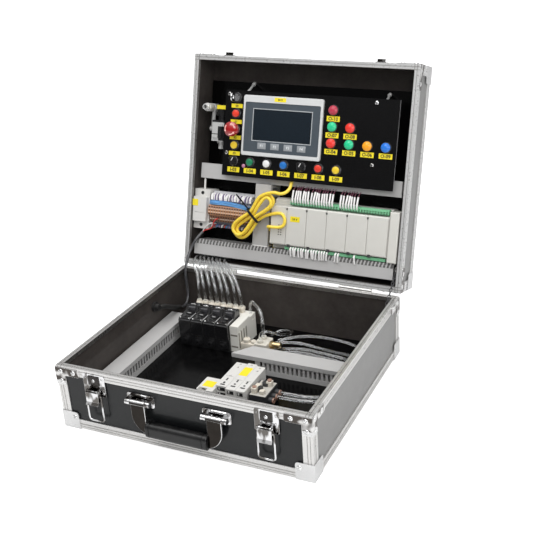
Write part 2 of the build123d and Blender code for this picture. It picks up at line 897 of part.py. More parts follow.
def terminal_blocks():
    """Make the row of terminals."""
    count = int((terminal_right - terminal_left) / terminal_pitch)
    return [terminal_slice(terminal_left + terminal_pitch * k) for k in range(count)]


def relay_module():
    """Make the white module at the row's left end, with its two screw wells."""
    seat = LID.offset(lid_plate_face + rail_height + rail_seat)
    low, high = 66.0, 139.0
    with BuildPart() as module:
        rounded_slab(seat, relay_left, relay_right, low, high, 1.5, 34)
        rounded_slab(seat.offset(34), relay_left + 2, relay_right - 2, low + 14, high - 14, 1.5, 9)
        middle = (relay_left + relay_right) / 2
        for y in (low + 7, high - 7):
            disc(seat.offset(34), middle, y, 2.6, -6, mode=Mode.SUBTRACT)
        slab(seat.offset(43), relay_left + 6, relay_right - 6, low + 30, low + 31, -1,
             mode=Mode.SUBTRACT)
    return module.part


def plc_body():
    """Make the controller's housing: a deep back, a front with doors, and end parts."""
    seat = turned(LID, 0, 0, lid_plate_face + rail_height + rail_seat, (0, 1, 0), (1, 0, 0))
    front = plc_height
    low, high = plc_bottom, plc_top
    shelf = front - 16.0
    right = plc_right - end_cap_width - 0.4
    with BuildPart() as body:
        with BuildSketch(seat.offset(plc_left)):
            with BuildLine():
                Polyline(
                    (low - 9, 0), (high + 11, 0), (high + 11, shelf - 6), (high + 8, shelf),
                    (high + 1.5, shelf), (high - 1, front - 1.5), (high - 3, front),
                    (low + 3, front), (low + 1, front - 1.5), (low - 1.0, shelf),
                    (low - 7, shelf), (low - 9, shelf - 4), (low - 9, 0),
                )
            make_face()
        extrude(amount=right - plc_left)
        level = lid_plate_face + rail_height + rail_seat + front
        width = (right - plc_left - 30.0) / door_count
        for k in range(door_count + 1):
            x = plc_left + 30.0 + width * k
            groove = turned(LID, min(x, right - door_gap), 0, level, (1, 0, 0), (0, 0, 1))
            slab(groove, -door_gap / 2, door_gap / 2, low - 2, high + 2, -1.6,
                 mode=Mode.SUBTRACT)
            if k < door_count:
                slab(groove, 3, 9, low - 2, low + 3.5, -4, mode=Mode.SUBTRACT)
                slab(groove, -2.4, 1.0, high - 8, high - 4, -3, mode=Mode.SUBTRACT)
    return body.part


def plc_end_cap():
    """Make the end part that stands taller than the housing beside it."""
    seat = turned(LID, 0, 0, lid_plate_face + rail_height + rail_seat, (0, 1, 0), (1, 0, 0))
    front = plc_height
    with BuildPart() as cap:
        with BuildSketch(seat.offset(plc_right - end_cap_width)):
            with Locations(((plc_bottom + plc_top) / 2 + 1, front / 2)):
                Rectangle(plc_top - plc_bottom + 16, front)
        extrude(amount=end_cap_width)
        outer = cap.faces().sort_by(Axis(seat.origin, LID.z_dir))[-1]
        fillet(outer.edges(), radius=2.2)
    return cap.part


def terminal_strip(left, right, y, shelf):
    """Make a pluggable green strip: a wedge with a row of wire ports."""
    seat = turned(LID, 0, y, shelf, (0, 1, 0), (1, 0, 0))
    count = int((right - left) / strip_pitch)
    with BuildPart() as strip:
        with BuildSketch(seat.offset(left)):
            with BuildLine():
                Polyline(
                    (0, 0), (strip_height, 0), (strip_height, 8.5), (strip_height - 3, 13),
                    (1.5, 14), (0, 11), (0, 0),
                )
            make_face()
        extrude(amount=right - left)
        face = turned(LID, left, y + strip_height / 2 - 0.3, shelf + 14, (1, 0, 0), (0, 0, 1))
        with BuildSketch(face):
            with Locations(*[(strip_pitch * (k + 0.5), 0) for k in range(count)]):
                Rectangle(2.6, 2.6)
        extrude(amount=-3.5, mode=Mode.SUBTRACT)
    return strip.part


def plc_strips():
    """Make the two strips over the doors and the one under them."""
    shelf = plc_front() - 16.0 + 0.1
    top = plc_top + 1.8
    middle = (plc_left + plc_right) / 2 + 10
    return [
        terminal_strip(plc_left + 34, middle - 2, top, shelf),
        terminal_strip(middle + 2, plc_right - end_cap_width - 3, top, shelf),
        plate(LID.offset(shelf), plc_left + 28, plc_right - end_cap_width - 3,
              plc_bottom - 6.5, plc_bottom - 1.2, 11.5),
    ]


def button_sites():
    """Give each push button's name and place on the panel."""
    row = [(column_x + row_pitch * k, row_y) for k in range(7)]
    return {
        "red_button": (column_x, row_y + 3 * column_pitch),
        "yellow_button": (column_x, row_y + column_pitch),
        "green_button": row[1],
        "white_button": row[2],
        "blue_button": row[3],
        "second_red_button": row[5],
        "second_yellow_button": row[6],
    }


def selector_sites():
    """Give each selector's name and place on the panel."""
    return {
        "left_selector": (column_x, row_y),
        "right_selector": (column_x + 4 * row_pitch, row_y),
    }


def key_site():
    """Give the key switch's place."""
    return (column_x, row_y + 4 * column_pitch)


def stop_site():
    """Give the emergency stop's place."""
    return (column_x, row_y + 2 * column_pitch)


def light_sites():
    """Give the pilot lights' places: one, two and four to a row."""
    return [
        (light_x + row_pitch * k, light_y + column_pitch * row)
        for row, count in enumerate((4, 2, 1)) for k in range(count)
    ]


def switch_sites():
    """Give every place that has a switch collar."""
    return [*button_sites().values(), *selector_sites().values(), key_site(), stop_site()]


def standoff_sites():
    """Give the places of the panel's standoffs."""
    left, right = panel_left + standoff_inset, panel_right - standoff_right
    low, high = panel_bottom + standoff_low, panel_top - standoff_inset
    return [(x, y) for x in (left, right) for y in (low, high)]


def control_panel():
    """Make the panel with its holes and the touch screen's cut-out."""
    with BuildPart() as board:
        slab(LID.offset(panel_front - plate_thick), panel_left, panel_right,
             panel_bottom, panel_top, plate_thick)
        with BuildSketch(LID.offset(panel_front)):
            with Locations(*switch_sites(), *light_sites()):
                Circle(switch_hole + 0.1)
            with Locations(((hmi_left + hmi_right) / 2, (hmi_bottom + hmi_top) / 2)):
                Rectangle(hmi_right - hmi_left - 2 * hmi_body_inset + 0.4,
                          hmi_top - hmi_bottom - 2 * hmi_body_inset + 0.4)
        extrude(amount=-plate_thick, mode=Mode.SUBTRACT)
    return board.part


def standoffs():
    """Make the turned pillars between the mounting plate and the panel."""
    pillars = []
    for x, y in standoff_sites():
        with BuildPart() as pillar:
            disc(LID.offset(lid_plate_face), x, y, standoff_radius,
                 panel_front - plate_thick - lid_plate_face)
        pillars.append(pillar.part)
    return pillars


def hmi_bezel():
    """Make the touch screen's housing: a body behind the panel and a bezel before it."""
    with BuildPart() as housing:
        rounded_slab(LID.offset(panel_front), hmi_left, hmi_right, hmi_bottom, hmi_top,
                     4, hmi_proud)
        front = housing.faces().sort_by(Axis(LID.origin, LID.z_dir))[-1]
        fillet(front.edges(), radius=1.2)
        slab(LID.offset(panel_front), hmi_left + hmi_body_inset, hmi_right - hmi_body_inset,
             hmi_bottom + hmi_body_inset, hmi_top - hmi_body_inset, -hmi_body_depth)
        rounded_slab(LID.offset(panel_front + hmi_proud), hmi_left + 4, hmi_right - 4,
                     hmi_bottom + 7, hmi_top - 12, 2, -0.8, mode=Mode.SUBTRACT)
        slab(LID.offset(panel_front + hmi_proud), screen_left, screen_right,
             screen_bottom, screen_top, -2.2, mode=Mode.SUBTRACT)
    return housing.part


def hmi_screen():
    """Make the glass pane that fills the bezel's window."""
    return plate(LID.offset(panel_front + hmi_proud - 2.2), screen_left + 0.1,
                 screen_right - 0.1, screen_bottom + 0.1, screen_top - 0.1, 1.2)


def switch_collar(x, y):
    """Make a switch body through the panel with its collar and plunger bore."""
    with BuildPart() as collar:
        disc(LID.offset(panel_front - collar_body), x, y, switch_hole, collar_body)
        disc(LID.offset(panel_front), x, y, collar_radius, collar_proud)
        rim = collar.edges().filter_by(GeomType.CIRCLE).sort_by(Axis(LID.origin, LID.z_dir))[-1]
        chamfer(rim, length=0.8)
        disc(LID.offset(panel_front + collar_proud), x, y, cap_radius + cap_clearance,
             -collar_proud - 9, mode=Mode.SUBTRACT)
    return collar.part


def button_cap(x, y):
    """Make a button's plunger with its gently domed face."""
    side = turned(LID, x, y, panel_front - 5.0, (1, 0, 0), (0, -1, 0))
    top = cap_proud + 5.0
    with BuildPart() as cap:
        with BuildSketch(side):
            with BuildLine():
                Polyline((0, 0), (cap_radius, 0), (cap_radius, top - 1.2))
                dome(cap_radius, top - 1.2, top)
                Line((0, top), (0, 0))
            make_face()
        revolve(axis=Axis(at(LID, x, y, 0), LID.z_dir))
    return cap.part


def stop_head():
    """Make the emergency stop's mushroom head, bored for its stem."""
    x, y = stop_site()
    under = collar_proud + stop_travel + 0.6
    side = turned(LID, x, y, panel_front, (1, 0, 0), (0, -1, 0))
    with BuildPart() as head:
        with BuildSketch(side):
            with BuildLine():
                Polyline(
                    (0, under + stop_bore_depth), (stop_stem_radius + 0.2, under + stop_bore_depth),
                    (stop_stem_radius + 0.2, under), (stop_radius - 4, under),
                    (stop_radius - 1, under + 3), (stop_radius, under + 7),
                    (stop_radius, stop_proud - 5),
                )
                dome(stop_radius, stop_proud - 5, stop_proud)
                Line((0, stop_proud), (0, under + stop_bore_depth))
            make_face()
        revolve(axis=Axis(at(LID, x, y, 0), LID.z_dir))
    return head.part


def stop_stem():
    """Make the emergency stop's stem: a plunger in the collar and a spigot for the head."""
    x, y = stop_site()
    top = collar_proud + stop_travel + 0.6 + stop_bore_depth - 0.3
    with BuildPart() as stem:
        disc(LID.offset(panel_front - 4), x, y, cap_radius, 4 + collar_proud + stop_travel)
        disc(LID.offset(panel_front), x, y, stop_stem_radius, top)
    return stem.part


def selector_knob(x, y, turn):
    """Make a selector: a round base with a grip bar across it."""
    with BuildPart() as knob:
        disc(LID.offset(panel_front - 4), x, y, cap_radius, 4 + collar_proud + 2.5)
        bar = turned(LID, x, y, panel_front + collar_proud + 2.5, (1, 0, 0), (0, 0, 1))
        bar = Plane(origin=bar.origin, x_dir=at(bar, cos(radians(turn)), sin(radians(turn)), 0)
                    - bar.origin, z_dir=bar.z_dir)
        rounded_slab(bar, -2.3, 2.3, -8.0, 8.0, 1.6, 7)
    return knob.part


def switch_key():
    """Make the key and the barrel that it turns."""
    x, y = key_site()
    with BuildPart() as key:
        disc(LID.offset(panel_front - 4), x, y, cap_radius, 4 + collar_proud + 1.5)
        blade = turned(LID, x, y, panel_front + collar_proud + 1.5, (0, 1, 0), (1, 0, 0))
        with BuildSketch(blade.offset(-1.0)):
            with Locations((0, 4)):
                Rectangle(7, 8)
            with Locations((0, 13)):
                Circle(8)
            with Locations((0, 15)):
                Circle(3.2, mode=Mode.SUBTRACT)
        extrude(amount=2.0)
    return key.part


def pilot_light(x, y):
    """Make a lamp body through the panel with its domed lens."""
    side = turned(LID, x, y, panel_front - collar_body, (1, 0, 0), (0, -1, 0))
    face = collar_body
    top = collar_body + light_proud
    with BuildPart() as lamp:
        with BuildSketch(side):
            with BuildLine():
                Polyline((0, 0), (switch_hole, 0), (switch_hole, face), (light_radius, face),
                         (light_radius, top - 4))
                dome(light_radius, top - 4, top)
                Line((0, top), (0, 0))
            make_face()
        revolve(axis=Axis(at(LID, x, y, 0), LID.z_dir))
    return lamp.part


def regulator_body():
    """Make the pressure regulator, its bracket, the inlet elbow and the coupler's core."""
    x, y = regulator_x, regulator_y
    seat = lid_plate_face
    low, high = y - 22, y + 16
    with BuildPart() as body:
        slab(LID.offset(seat), x - 12, x + 12, low, high, 34)
        slab(LID.offset(seat + 34), x - 9, x + 9, low + 6, high - 6, 3)
        stem = turned(LID, x, high, seat + 18, (1, 0, 0), (0, 1, 0))
        disc(stem, 0, 0, 7, 7)
        disc(stem, 0, 0, 4, 21)
        bowl = turned(LID, x, low, seat + 18, (1, 0, 0), (0, -1, 0))
        disc(bowl, 0, 0, 8, 4)
        disc(bowl, 0, 0, 5, 14)
        gland = turned(LID, x + 12, low + 12, seat + 18, (0, 1, 0), (1, 0, 0))
        disc(gland, 0, 0, 6, 6)
    return body.part


def inlet_coupler():
    """Make the air inlet: an elbow from the regulator's side and a tube to the front."""
    x, y = coupler_x, coupler_y
    seat = lid_plate_face
    low = seat + 10
    with BuildPart() as coupler:
        disc(LID.offset(low), x, y, 7.5, 14)
        disc(LID.offset(low + 14), x, y, 5.0, 30)
        disc(LID.offset(low + 36), x, y, 6.2, 4)
        disc(LID.offset(seat), x, y, 5.0, 10)
        riser = turned(LID, x, regulator_y, seat + 18, (1, 0, 0), (0, 1, 0))
        disc(riser, 0, 0, 4.2, y - regulator_y)
        link = turned(LID, x - 5, regulator_y, seat + 18, (0, 1, 0), (1, 0, 0))
        disc(link, 0, 0, 5.2, regulator_x - 12 - x + 5)
        disc(LID.offset(low + 44), x, y, coupler_bore, -22, mode=Mode.SUBTRACT)
    return coupler.part


def coupler_sleeve():
    """Make the knurled sleeve that slides back to free the hose plug."""
    x, y = coupler_x, coupler_y
    start = lid_plate_face + 10 + 14 + sleeve_travel + 0.5
    length = 36 - 14 - sleeve_travel - 1.0
    with BuildPart() as sleeve:
        disc(LID.offset(start), x, y, sleeve_radius + 0.8, length)
        with BuildSketch(LID.offset(start)):
            with Locations((x, y)):
                with PolarLocations(sleeve_radius + 0.9, 16):
                    Circle(0.55)
        extrude(amount=length, mode=Mode.SUBTRACT)
        disc(LID.offset(start), x, y, 5.3, length, mode=Mode.SUBTRACT)
    return sleeve.part


def regulator_knob():
    """Make the fluted knob on top of the regulator."""
    x = regulator_x
    top = turned(LID, x, regulator_y + 16 + 7 + 0.5, lid_plate_face + 18, (1, 0, 0), (0, 1, 0))
    with BuildPart() as knob:
        disc(top, 0, 0, 10, 17)
        with BuildSketch(top):
            with PolarLocations(10.4, 12):
                Circle(1.2)
        extrude(amount=17, mode=Mode.SUBTRACT)
        disc(top, 0, 0, 4.3, 17.5, mode=Mode.SUBTRACT)
        disc(top.offset(15), 0, 0, 9, 2)
    return knob.part


def valve_x(index):
    """Give the centre of one valve."""
    return valve_left + valve_pitch * (index + 0.5)


def valve_manifold():
    """Make the dark manifold bar with its row of exhaust ports."""
    left = valve_left
    right = valve_left + valve_pitch * valve_count
    seat = BASE.offset(base_plate_top)
    with BuildPart() as bar:
        slab(seat, left, right, valve_front + 2, valve_back - 4, manifold_height - 0.1)
        face = turned(BASE, 0, valve_front + 2, base_plate_top, (1, 0, 0), (0, -1, 0))
        for k in range(valve_count):
            disc(face, valve_x(k), 12, 8.5, 3.5)
            disc(face, valve_x(k), 12, 5.0, 7.0)
        for k in range(valve_count):
            disc(face.offset(7.0), valve_x(k), 12, 2.4, -6.0, mode=Mode.SUBTRACT)
    return bar.part


def port_block():
    """Make the pale block behind the valves and the end plate beside them."""
    left = valve_left
    right = valve_left + valve_pitch * valve_count
    seat = BASE.offset(base_plate_top)
    with BuildPart() as block:
        slab(seat, left, right + 16, valve_back - 3.8, port_back, 46)
        slab(seat, right + 0.3, right + 16, valve_front + 6, valve_back, 50)
        bolts = turned(BASE, right + 16, 0, base_plate_top, (0, 1, 0), (1, 0, 0))
        for y in (valve_front + 14, port_back - 10):
            disc(bolts, y, 38, 2.6, -1.5, mode=Mode.SUBTRACT)
        front_edge = block.edges().filter_by(Axis.Y).sort_by(Axis.Z)[-2:]
        chamfer(front_edge, length=1.0)
    return block.part


def solenoid_valve(index):
    """Make one valve: body, raised coil, cover with its override and a plug."""
    x = valve_x(index)
    half = valve_width / 2
    low = base_plate_top + manifold_height
    side = turned(BASE, x - half, 0, low, (0, 1, 0), (1, 0, 0))
    height = valve_top - low + cap_skin
    front, back = valve_front, valve_back - 4.2
    with BuildPart() as valve:
        with BuildSketch(side):
            with BuildLine():
                Polyline(
                    (front, 0), (back, 0), (back, height + 9), (back - 14, height + 11),
                    (back - 20, height + 1), (front + 3, height), (front, height - 3),
                    (front, 0),
                )
            make_face()
        extrude(amount=valve_width)
        roof = BASE.offset(low + height)
        disc(roof.offset(-0.5), x, front + 10, 3.4, 2.5)
        disc(roof.offset(2.0), x, front + 10, 1.6, -1.5, mode=Mode.SUBTRACT)
        slab(roof, x - half + 2, x + half - 2, front + 17, front + 26, -1.2, mode=Mode.SUBTRACT)
    return valve.part


def tube_sites():
    """Give the tubes' places on the port block, two to a valve."""
    y = port_back - 6.5
    return [(valve_x(k) + side * 6.1, y) for k in range(valve_count) for side in (-1, 1)]


def push_in_fittings():
    """Make the threaded bodies with their release rings, and the four tall plugs."""
    seat = BASE.offset(base_plate_top + 46)
    fittings = []
    for x, y in tube_sites():
        with BuildPart() as fitting:
            with BuildSketch(seat):
                with Locations((x, y)):
                    RegularPolygon(5.6, 6)
            extrude(amount=4)
            disc(seat.offset(4), x, y, 5.0, 5)
            disc(seat.offset(9), x, y, 4.2, 2.5)
        fittings.append(fitting.part)
    for k in range(valve_count):
        with BuildPart() as plug:
            spot = (valve_x(k), port_back - 18)
            disc(seat, *spot, 4.4, 8)
            disc(seat.offset(8), *spot, 6.4, 3.2)
            disc(seat.offset(11.2), *spot, 5.0, 1.6)
        fittings.append(plug.part)
    return fittings


def tee_x():
    """Give the tee's centre across the base."""
    return 2.0


def exhaust_tee():
    """Make the tee right of the manifold, with its two ring fittings."""
    seat = BASE.offset(base_plate_top)
    x = tee_x()
    with BuildPart() as tee:
        rounded_slab(seat, x - 13, x + 11, 262, 292, 3, 24)
        disc(seat.offset(24), x - 4, 284, 5.2, 5)
        disc(seat.offset(24), x - 4, 270, 5.2, 5)
        for y in (272, 284):
            disc(turned(BASE, x + 11, y, base_plate_top + 8, (0, 1, 0), (1, 0, 0)), 0, 0, 5, 6)
    return tee.part


def exhaust_silencer():
    """Make the brass silencer: a hexagon and a ribbed sintered body."""
    start = tee_x() + 11
    seat = turned(BASE, start, 278, base_plate_top + 19.5, (0, 1, 0), (1, 0, 0))
    with BuildPart() as silencer:
        with BuildSketch(seat):
            RegularPolygon(6.5, 6)
        extrude(amount=5)
        disc(seat.offset(5), 0, 0, 4.6, 14)
        for k in range(3):
            disc(seat.offset(7.5 + 4 * k), 0, 0, 5.4, 1.6)
    return silencer.part


def sensor_modules():
    """Make the white module tops: three long ones and the low block beside them."""
    base = base_plate_top
    pieces = []
    for left, right, low, high in ((0, 19, 108, 181), (19.4, 36, 103, 184), (36.4, 52, 103, 180)):
        with BuildPart() as module:
            rounded_slab(BASE.offset(base + 16), left, right, low, high, 1.5, 20)
            middle = (left + right) / 2
            for y in (low + 10, high - 14):
                disc(BASE.offset(base + 36), middle, y, 1.8, -4, mode=Mode.SUBTRACT)
            slab(BASE.offset(base + 36), left + 2.5, right - 2.5, low + 30, low + 31.2, -1,
                 mode=Mode.SUBTRACT)
        pieces.append(module.part)
    with BuildPart() as block:
        rounded_slab(BASE.offset(base), -29, -0.5, 97, 134, 2, 30)
        slab(BASE.offset(base + 30), -27, -12, 97, 104, -6, mode=Mode.SUBTRACT)
    pieces.append(block.part)
    return pieces


def module_bases():
    """Make the dark lower bodies under the long modules and the ejector beside them."""
    base = BASE.offset(base_plate_top)
    with BuildPart() as lower:
        slab(base, 1.5, 50.5, 108, 178, 16)
    with BuildPart() as ejector:
        rounded_slab(base, 54, 84, 112, 156, 2, 28)
        for y in (122, 134, 146):
            disc(turned(BASE, 84, y, base_plate_top + 18, (0, 1, 0), (1, 0, 0)), 0, 0, 5, 7)
        disc(base.offset(28), 69, 145, 6, 5)
        disc(base.offset(28), 69, 126, 4, 8)
    return [lower.part, ejector.part]


def routed_tube(points, radius):
    """Make a tube on straight runs joined by arcs as large as the runs allow."""
    radii = corner_radii(points)
    with BuildPart() as tube:
        with BuildLine() as route:
            FilletPolyline(*points, radius=radii)
        path = route.wire()
        with BuildSketch(Plane(origin=path @ 0, z_dir=path % 0)):
            Circle(radius)
        sweep()
    wanted = pi * radius**2 * path.length
    print(f"tube {path.length:.0f} mm, least radius {min(radii):.1f} mm,",
          f"volume ratio {tube.part.volume / wanted:.4f}")
    return tube.part


def bundle_points(index):
    """Give one supply tube's route: up from its fitting and over the hinge."""
    x, y = tube_sites()[index]
    start = base_plate_top + 46 + 11.5
    end = tube_lid_left + tube_pitch * index
    shift = end - x
    return [
        at(BASE, x, y, start),
        at(BASE, x, y, start + 18),
        at(BASE, x + 0.28 * shift, y + 13, start + 40),
        at(BASE, x + 0.72 * shift, y + 38, start + 51),
        at(LID, end, 14.5, lid_height - 4),
        at(LID, end, 14.5, lid_height - 28),
    ]


def air_tube_bundle():
    """Make the supply tubes that cross the hinge."""
    return [routed_tube(bundle_points(k), tube_radius) for k in range(2 * valve_count)]


def bulkhead_fittings():
    """Make the fittings in the lid that take the supply tubes."""
    fittings = []
    for k in range(2 * valve_count):
        x = tube_lid_left + tube_pitch * k
        face = turned(LID, x, 14.5, lid_height - 28, (1, 0, 0), (0, 0, -1))
        with BuildPart() as fitting:
            disc(face, 0, 0, 4.1, lid_height - 28 - lid_plate_face)
        fittings.append(fitting.part)
    return fittings


def lid_cable_points():
    """Give the grey cable's route from the wall clamp over the hinge."""
    x = -case_width / 2 + wall
    return [
        at(BASE, x + 14, 322, 52),
        at(BASE, x + 14, 339.6, 44),
        at(BASE, x + 12, 357, 57),
        at(BASE, x + 9, 360, 82),
        at(BASE, x + 6, 364, 106),
        at(BASE, x + 6, 378, 126),
        at(LID, x + 8, 30, lid_height + 3),
        at(LID, x + 16, 50, lid_height - 3),
        at(LID, x + 22, 60, lid_height - 12),
    ]


def cable_gland():
    """Make the clamp on the wall and the sleeve that ends where the cable is bare."""
    x = -case_width / 2 + wall
    with BuildPart() as gland:
        wall_face = turned(BASE, x, 262, 80, (0, 1, 0), (1, 0, 0))
        disc(wall_face, 0, 0, 9, 4)
        disc(wall_face, 0, 0, 6, 11)
    route = [
        at(BASE, x + 11, 262, 80),
        at(BASE, x + 13, 276, 76),
        at(BASE, x + 14, 300, 62),
        at(BASE, x + 14, 322, 52),
    ]
    return [gland.part, routed_tube(route, 4.2)]


def loose_tube_routes():
    """Give the free tubes' routes: two round the duct's end, and the short arch."""
    low = base_plate_top + tube_radius + 0.2
    routes = []
    for lane in range(2):
        back, out = 272 + 12 * lane, 8.0 * lane
        front = 146 - 12 * lane
        rise = base_plate_top + 8
        routes.append([
            at(BASE, tee_x() + 17, back, rise),
            at(BASE, 40, back, rise),
            at(BASE, 72, back + 2, low + 2),
            at(BASE, 110, back - 3, low),
            at(BASE, 146 + out / 2, back - 6, low),
            at(BASE, 174 + out / 2, back - 22, low),
            at(BASE, 186 + out, 228, low),
            at(BASE, 184 + out, 198, low),
            at(BASE, 168 + out / 2, front + 24, low),
            at(BASE, 140, front + 8, low + 3),
            at(BASE, 113, front, base_plate_top + 18),
            at(BASE, 91, front, base_plate_top + 18),
        ])
    right = valve_left + valve_pitch * valve_count
    return routes + [[
        at(BASE, right + 10, port_back - 6, base_plate_top + 46),
        at(BASE, right + 10, port_back - 6, base_plate_top + 62),
        at(BASE, right + 20, port_back - 16, base_plate_top + 76),
        at(BASE, tee_x() - 13, port_back - 34, base_plate_top + 70),
        at(BASE, tee_x() - 4, 284, base_plate_top + 48),
        at(BASE, tee_x() - 4, 284, base_plate_top + 29),
    ]]


def loose_air_tubes():
    """Make the free tubes of the base."""
    return [routed_tube(route, tube_radius) for route in loose_tube_routes()]


def biarc(start, start_dir, end, end_dir):
    """Draw two arcs that leave and arrive along the given directions."""
    chord = end - start
    both = start_dir + end_dir
    squared = both.dot(both) - 4
    slope = -2 * chord.dot(both)
    constant = chord.dot(chord)
    if abs(squared) < 1e-9:
        reach = -constant / slope
    else:
        reach = (-slope - sqrt(slope**2 - 4 * squared * constant)) / (2 * squared)
    first = start + start_dir * reach
    second = end - end_dir * reach
    joint = (first + second) / 2
    TangentArc(start, joint, tangent=start_dir)
    TangentArc(joint, end, tangent=(second - first).normalized())


def hank_frame():
    """Give the hank's plane on its lower layer: y up its runs, normal out of the lid."""
    turn = radians(hank_turn)
    level = plc_front() + patch_radius + hank_clearance
    return turned(LID, hank_x, hank_y, level, (cos(turn), sin(turn), 0), (0, 0, 1))


def hank_nodes():
    """Give the points and headings of the hank's turns, in its own plane.

    Runs on the right head down and runs on the left head up. Each is drawn in by half a
    pitch until the run that climbs to the upper layer, and let out again after it.
    """
    step = hank_pitch / 2
    last = 2 * hank_turns - 1
    nodes = []
    for run in range(last + 1):
        side = 1 if run % 2 == 0 else -1
        drawn = min(run, 2 * hank_turns - run)
        drawn_next = min(run + 1, 2 * hank_turns - run - 1)
        low = 0.0 if run <= hank_turns else hank_pitch
        high = 0.0 if run < hank_turns else hank_pitch
        waist = hank_waist - drawn * step
        lobe = hank_lobe - drawn * step
        heading = Vector(0, -side, 0)
        if run:
            nodes.append((Vector(side * lobe, side * hank_lobe_at, low), heading))
        else:
            nodes.append((Vector(hank_start_x, hank_start_y, low), heading))
        nodes.append((Vector(side * waist, 0, (low + high) / 2), heading))
        nodes.append((Vector(side * lobe, -side * hank_lobe_at, high), heading))
        if run < last:
            crown = hank_reach - (drawn + drawn_next) * step / 2
            middle = side * (drawn_next - drawn) * step / 2
            nodes.append((Vector(middle, -side * crown, high), Vector(-side, 0, 0)))
    return nodes


def plc_front():
    """Give the level of the controller's front in the lid."""
    return lid_plate_face + rail_height + rail_seat + plc_height


def patch_gap_x():
    """Give the middle of the gap between the upright duct and the controller."""
    duct_side = upright_duct_at + upright_duct_width / 2 + cover_gap + cover_skin
    return (duct_side + plc_left) / 2


def patch_start_points(first, heading):
    """Give the route from the lower duct, up the gap and round the small loop."""
    x = patch_gap_x()
    lie = plc_front() + patch_radius + hank_clearance
    return [
        at(LID, x, 36, 38),
        at(LID, x, 53, 38),
        at(LID, x, 72, 49),
        at(LID, x, 84, 66),
        at(LID, x + 3, 87, 80.5),
        at(LID, -27, 86.5, 79),
        at(LID, -12, 88, lie + 1),
        at(LID, -8.5, 101, lie),
        at(LID, -17, 113.5, lie),
        first - heading * 9,
        first,
    ]


def patch_end_points(last, heading):
    """Give the route from the hank, up behind the panel to the touch screen."""
    behind = panel_front - plate_thick - patch_radius - 1.7
    return [
        last,
        last + heading * 12,
        at(LID, -34, 149, 80),
        at(LID, -17.5, 145, 76),
        at(LID, -8, 154, 65),
        at(LID, -8, 169, behind),
        at(LID, plug_x, 189, behind),
        at(LID, plug_x, hmi_bottom + hmi_body_inset - plug_length, behind),
    ]


def corner_radii(points):
    """Give each corner of a route the largest radius that its runs allow."""
    radii = []
    for before, corner, after in zip(points, points[1:], points[2:]):
        first, second = corner - before, after - corner
        half_turn = radians(first.get_angle(second)) / 2
        radii.append(0.45 * min(first.length, second.length) / tan(half_turn))
    return radii


def patch_cable():
    """Make the patch cable as one unbroken tube, hank and both ends."""
    frame = hank_frame()
    nodes = [
        (frame.from_local_coords(spot), frame.from_local_coords(spot + way)
         - frame.from_local_coords(spot))
        for spot, way in hank_nodes()
    ]
    lead_in = patch_start_points(*nodes[0])
    lead_out = patch_end_points(*nodes[-1])
    with BuildPart() as cable:
        with BuildLine() as route:
            FilletPolyline(*lead_in, radius=corner_radii(lead_in))
            for (start, start_dir), (end, end_dir) in zip(nodes, nodes[1:]):
                biarc(start, start_dir, end, end_dir)
            FilletPolyline(*lead_out, radius=corner_radii(lead_out))
        path = route.wire()
        with BuildSketch(Plane(origin=path @ 0, z_dir=path % 0)):
            Circle(patch_radius)
        sweep()
    wanted = pi * patch_radius**2 * path.length
    least = min(*corner_radii(lead_in), *corner_radii(lead_out))
    print(f"patch cable {path.length:.0f} mm, least radius {least:.1f} mm,",
          f"volume ratio {cable.part.volume / wanted:.4f}")
    print(f"patch cable least gap to itself {least_gap(path):.2f} mm")
    return cable.part


def cable_tie():
    """Make the strap round the hank's waist with its head and long tail."""
    frame = hank_frame()
    left = -hank_waist + hank_pitch / 2 - patch_radius - tie_clearance
    right = hank_waist + patch_radius + tie_clearance
    low = -patch_radius - tie_clearance
    high = hank_pitch + patch_radius + tie_clearance
    ring = turned(frame, 0, -tie_width / 2, 0, (1, 0, 0), (0, 1, 0))
    with BuildPart() as tie:
        with BuildSketch(ring):
            with Locations(((left + right) / 2, -(low + high) / 2)):
                RectangleRounded(right - left + 2 * tie_skin, high - low + 2 * tie_skin,
                                 patch_radius + tie_skin)
                RectangleRounded(right - left, high - low, patch_radius, mode=Mode.SUBTRACT)
        extrude(amount=tie_width)
        head = frame.offset(hank_pitch / 2)
        slab(head.offset(-2.5), left - tie_skin - 3.6, left - tie_skin + 0.2, -3, 3, 5)
        slab(head.offset(-0.5), left - tie_skin - 3.5 - tie_tail, left - tie_skin - 3.5,
             -1.3, 1.3, 1)
    return tie.part


def patch_plug():
    """Make the plug that seats on the touch screen's lower side."""
    behind = panel_front - plate_thick - patch_radius - 1.7
    seat = hmi_bottom + hmi_body_inset
    with BuildPart() as plug:
        slab(LID.offset(behind - 3.6), plug_x - 6, plug_x + 6, seat - plug_length, seat, 7.2)
    return plug.part


def least_gap(line):
    """Measure the least gap between stretches of a tube that aren't neighbours."""
    count = 700
    spots = [line @ (k / count) for k in range(count + 1)]
    step = line.length / count
    apart = int(4 * patch_radius / step) + 1
    least = min(
        (spots[i] - spots[j]).length
        for i in range(count + 1) for j in range(i + apart, count + 1)
    )
    return least - 2 * patch_radius


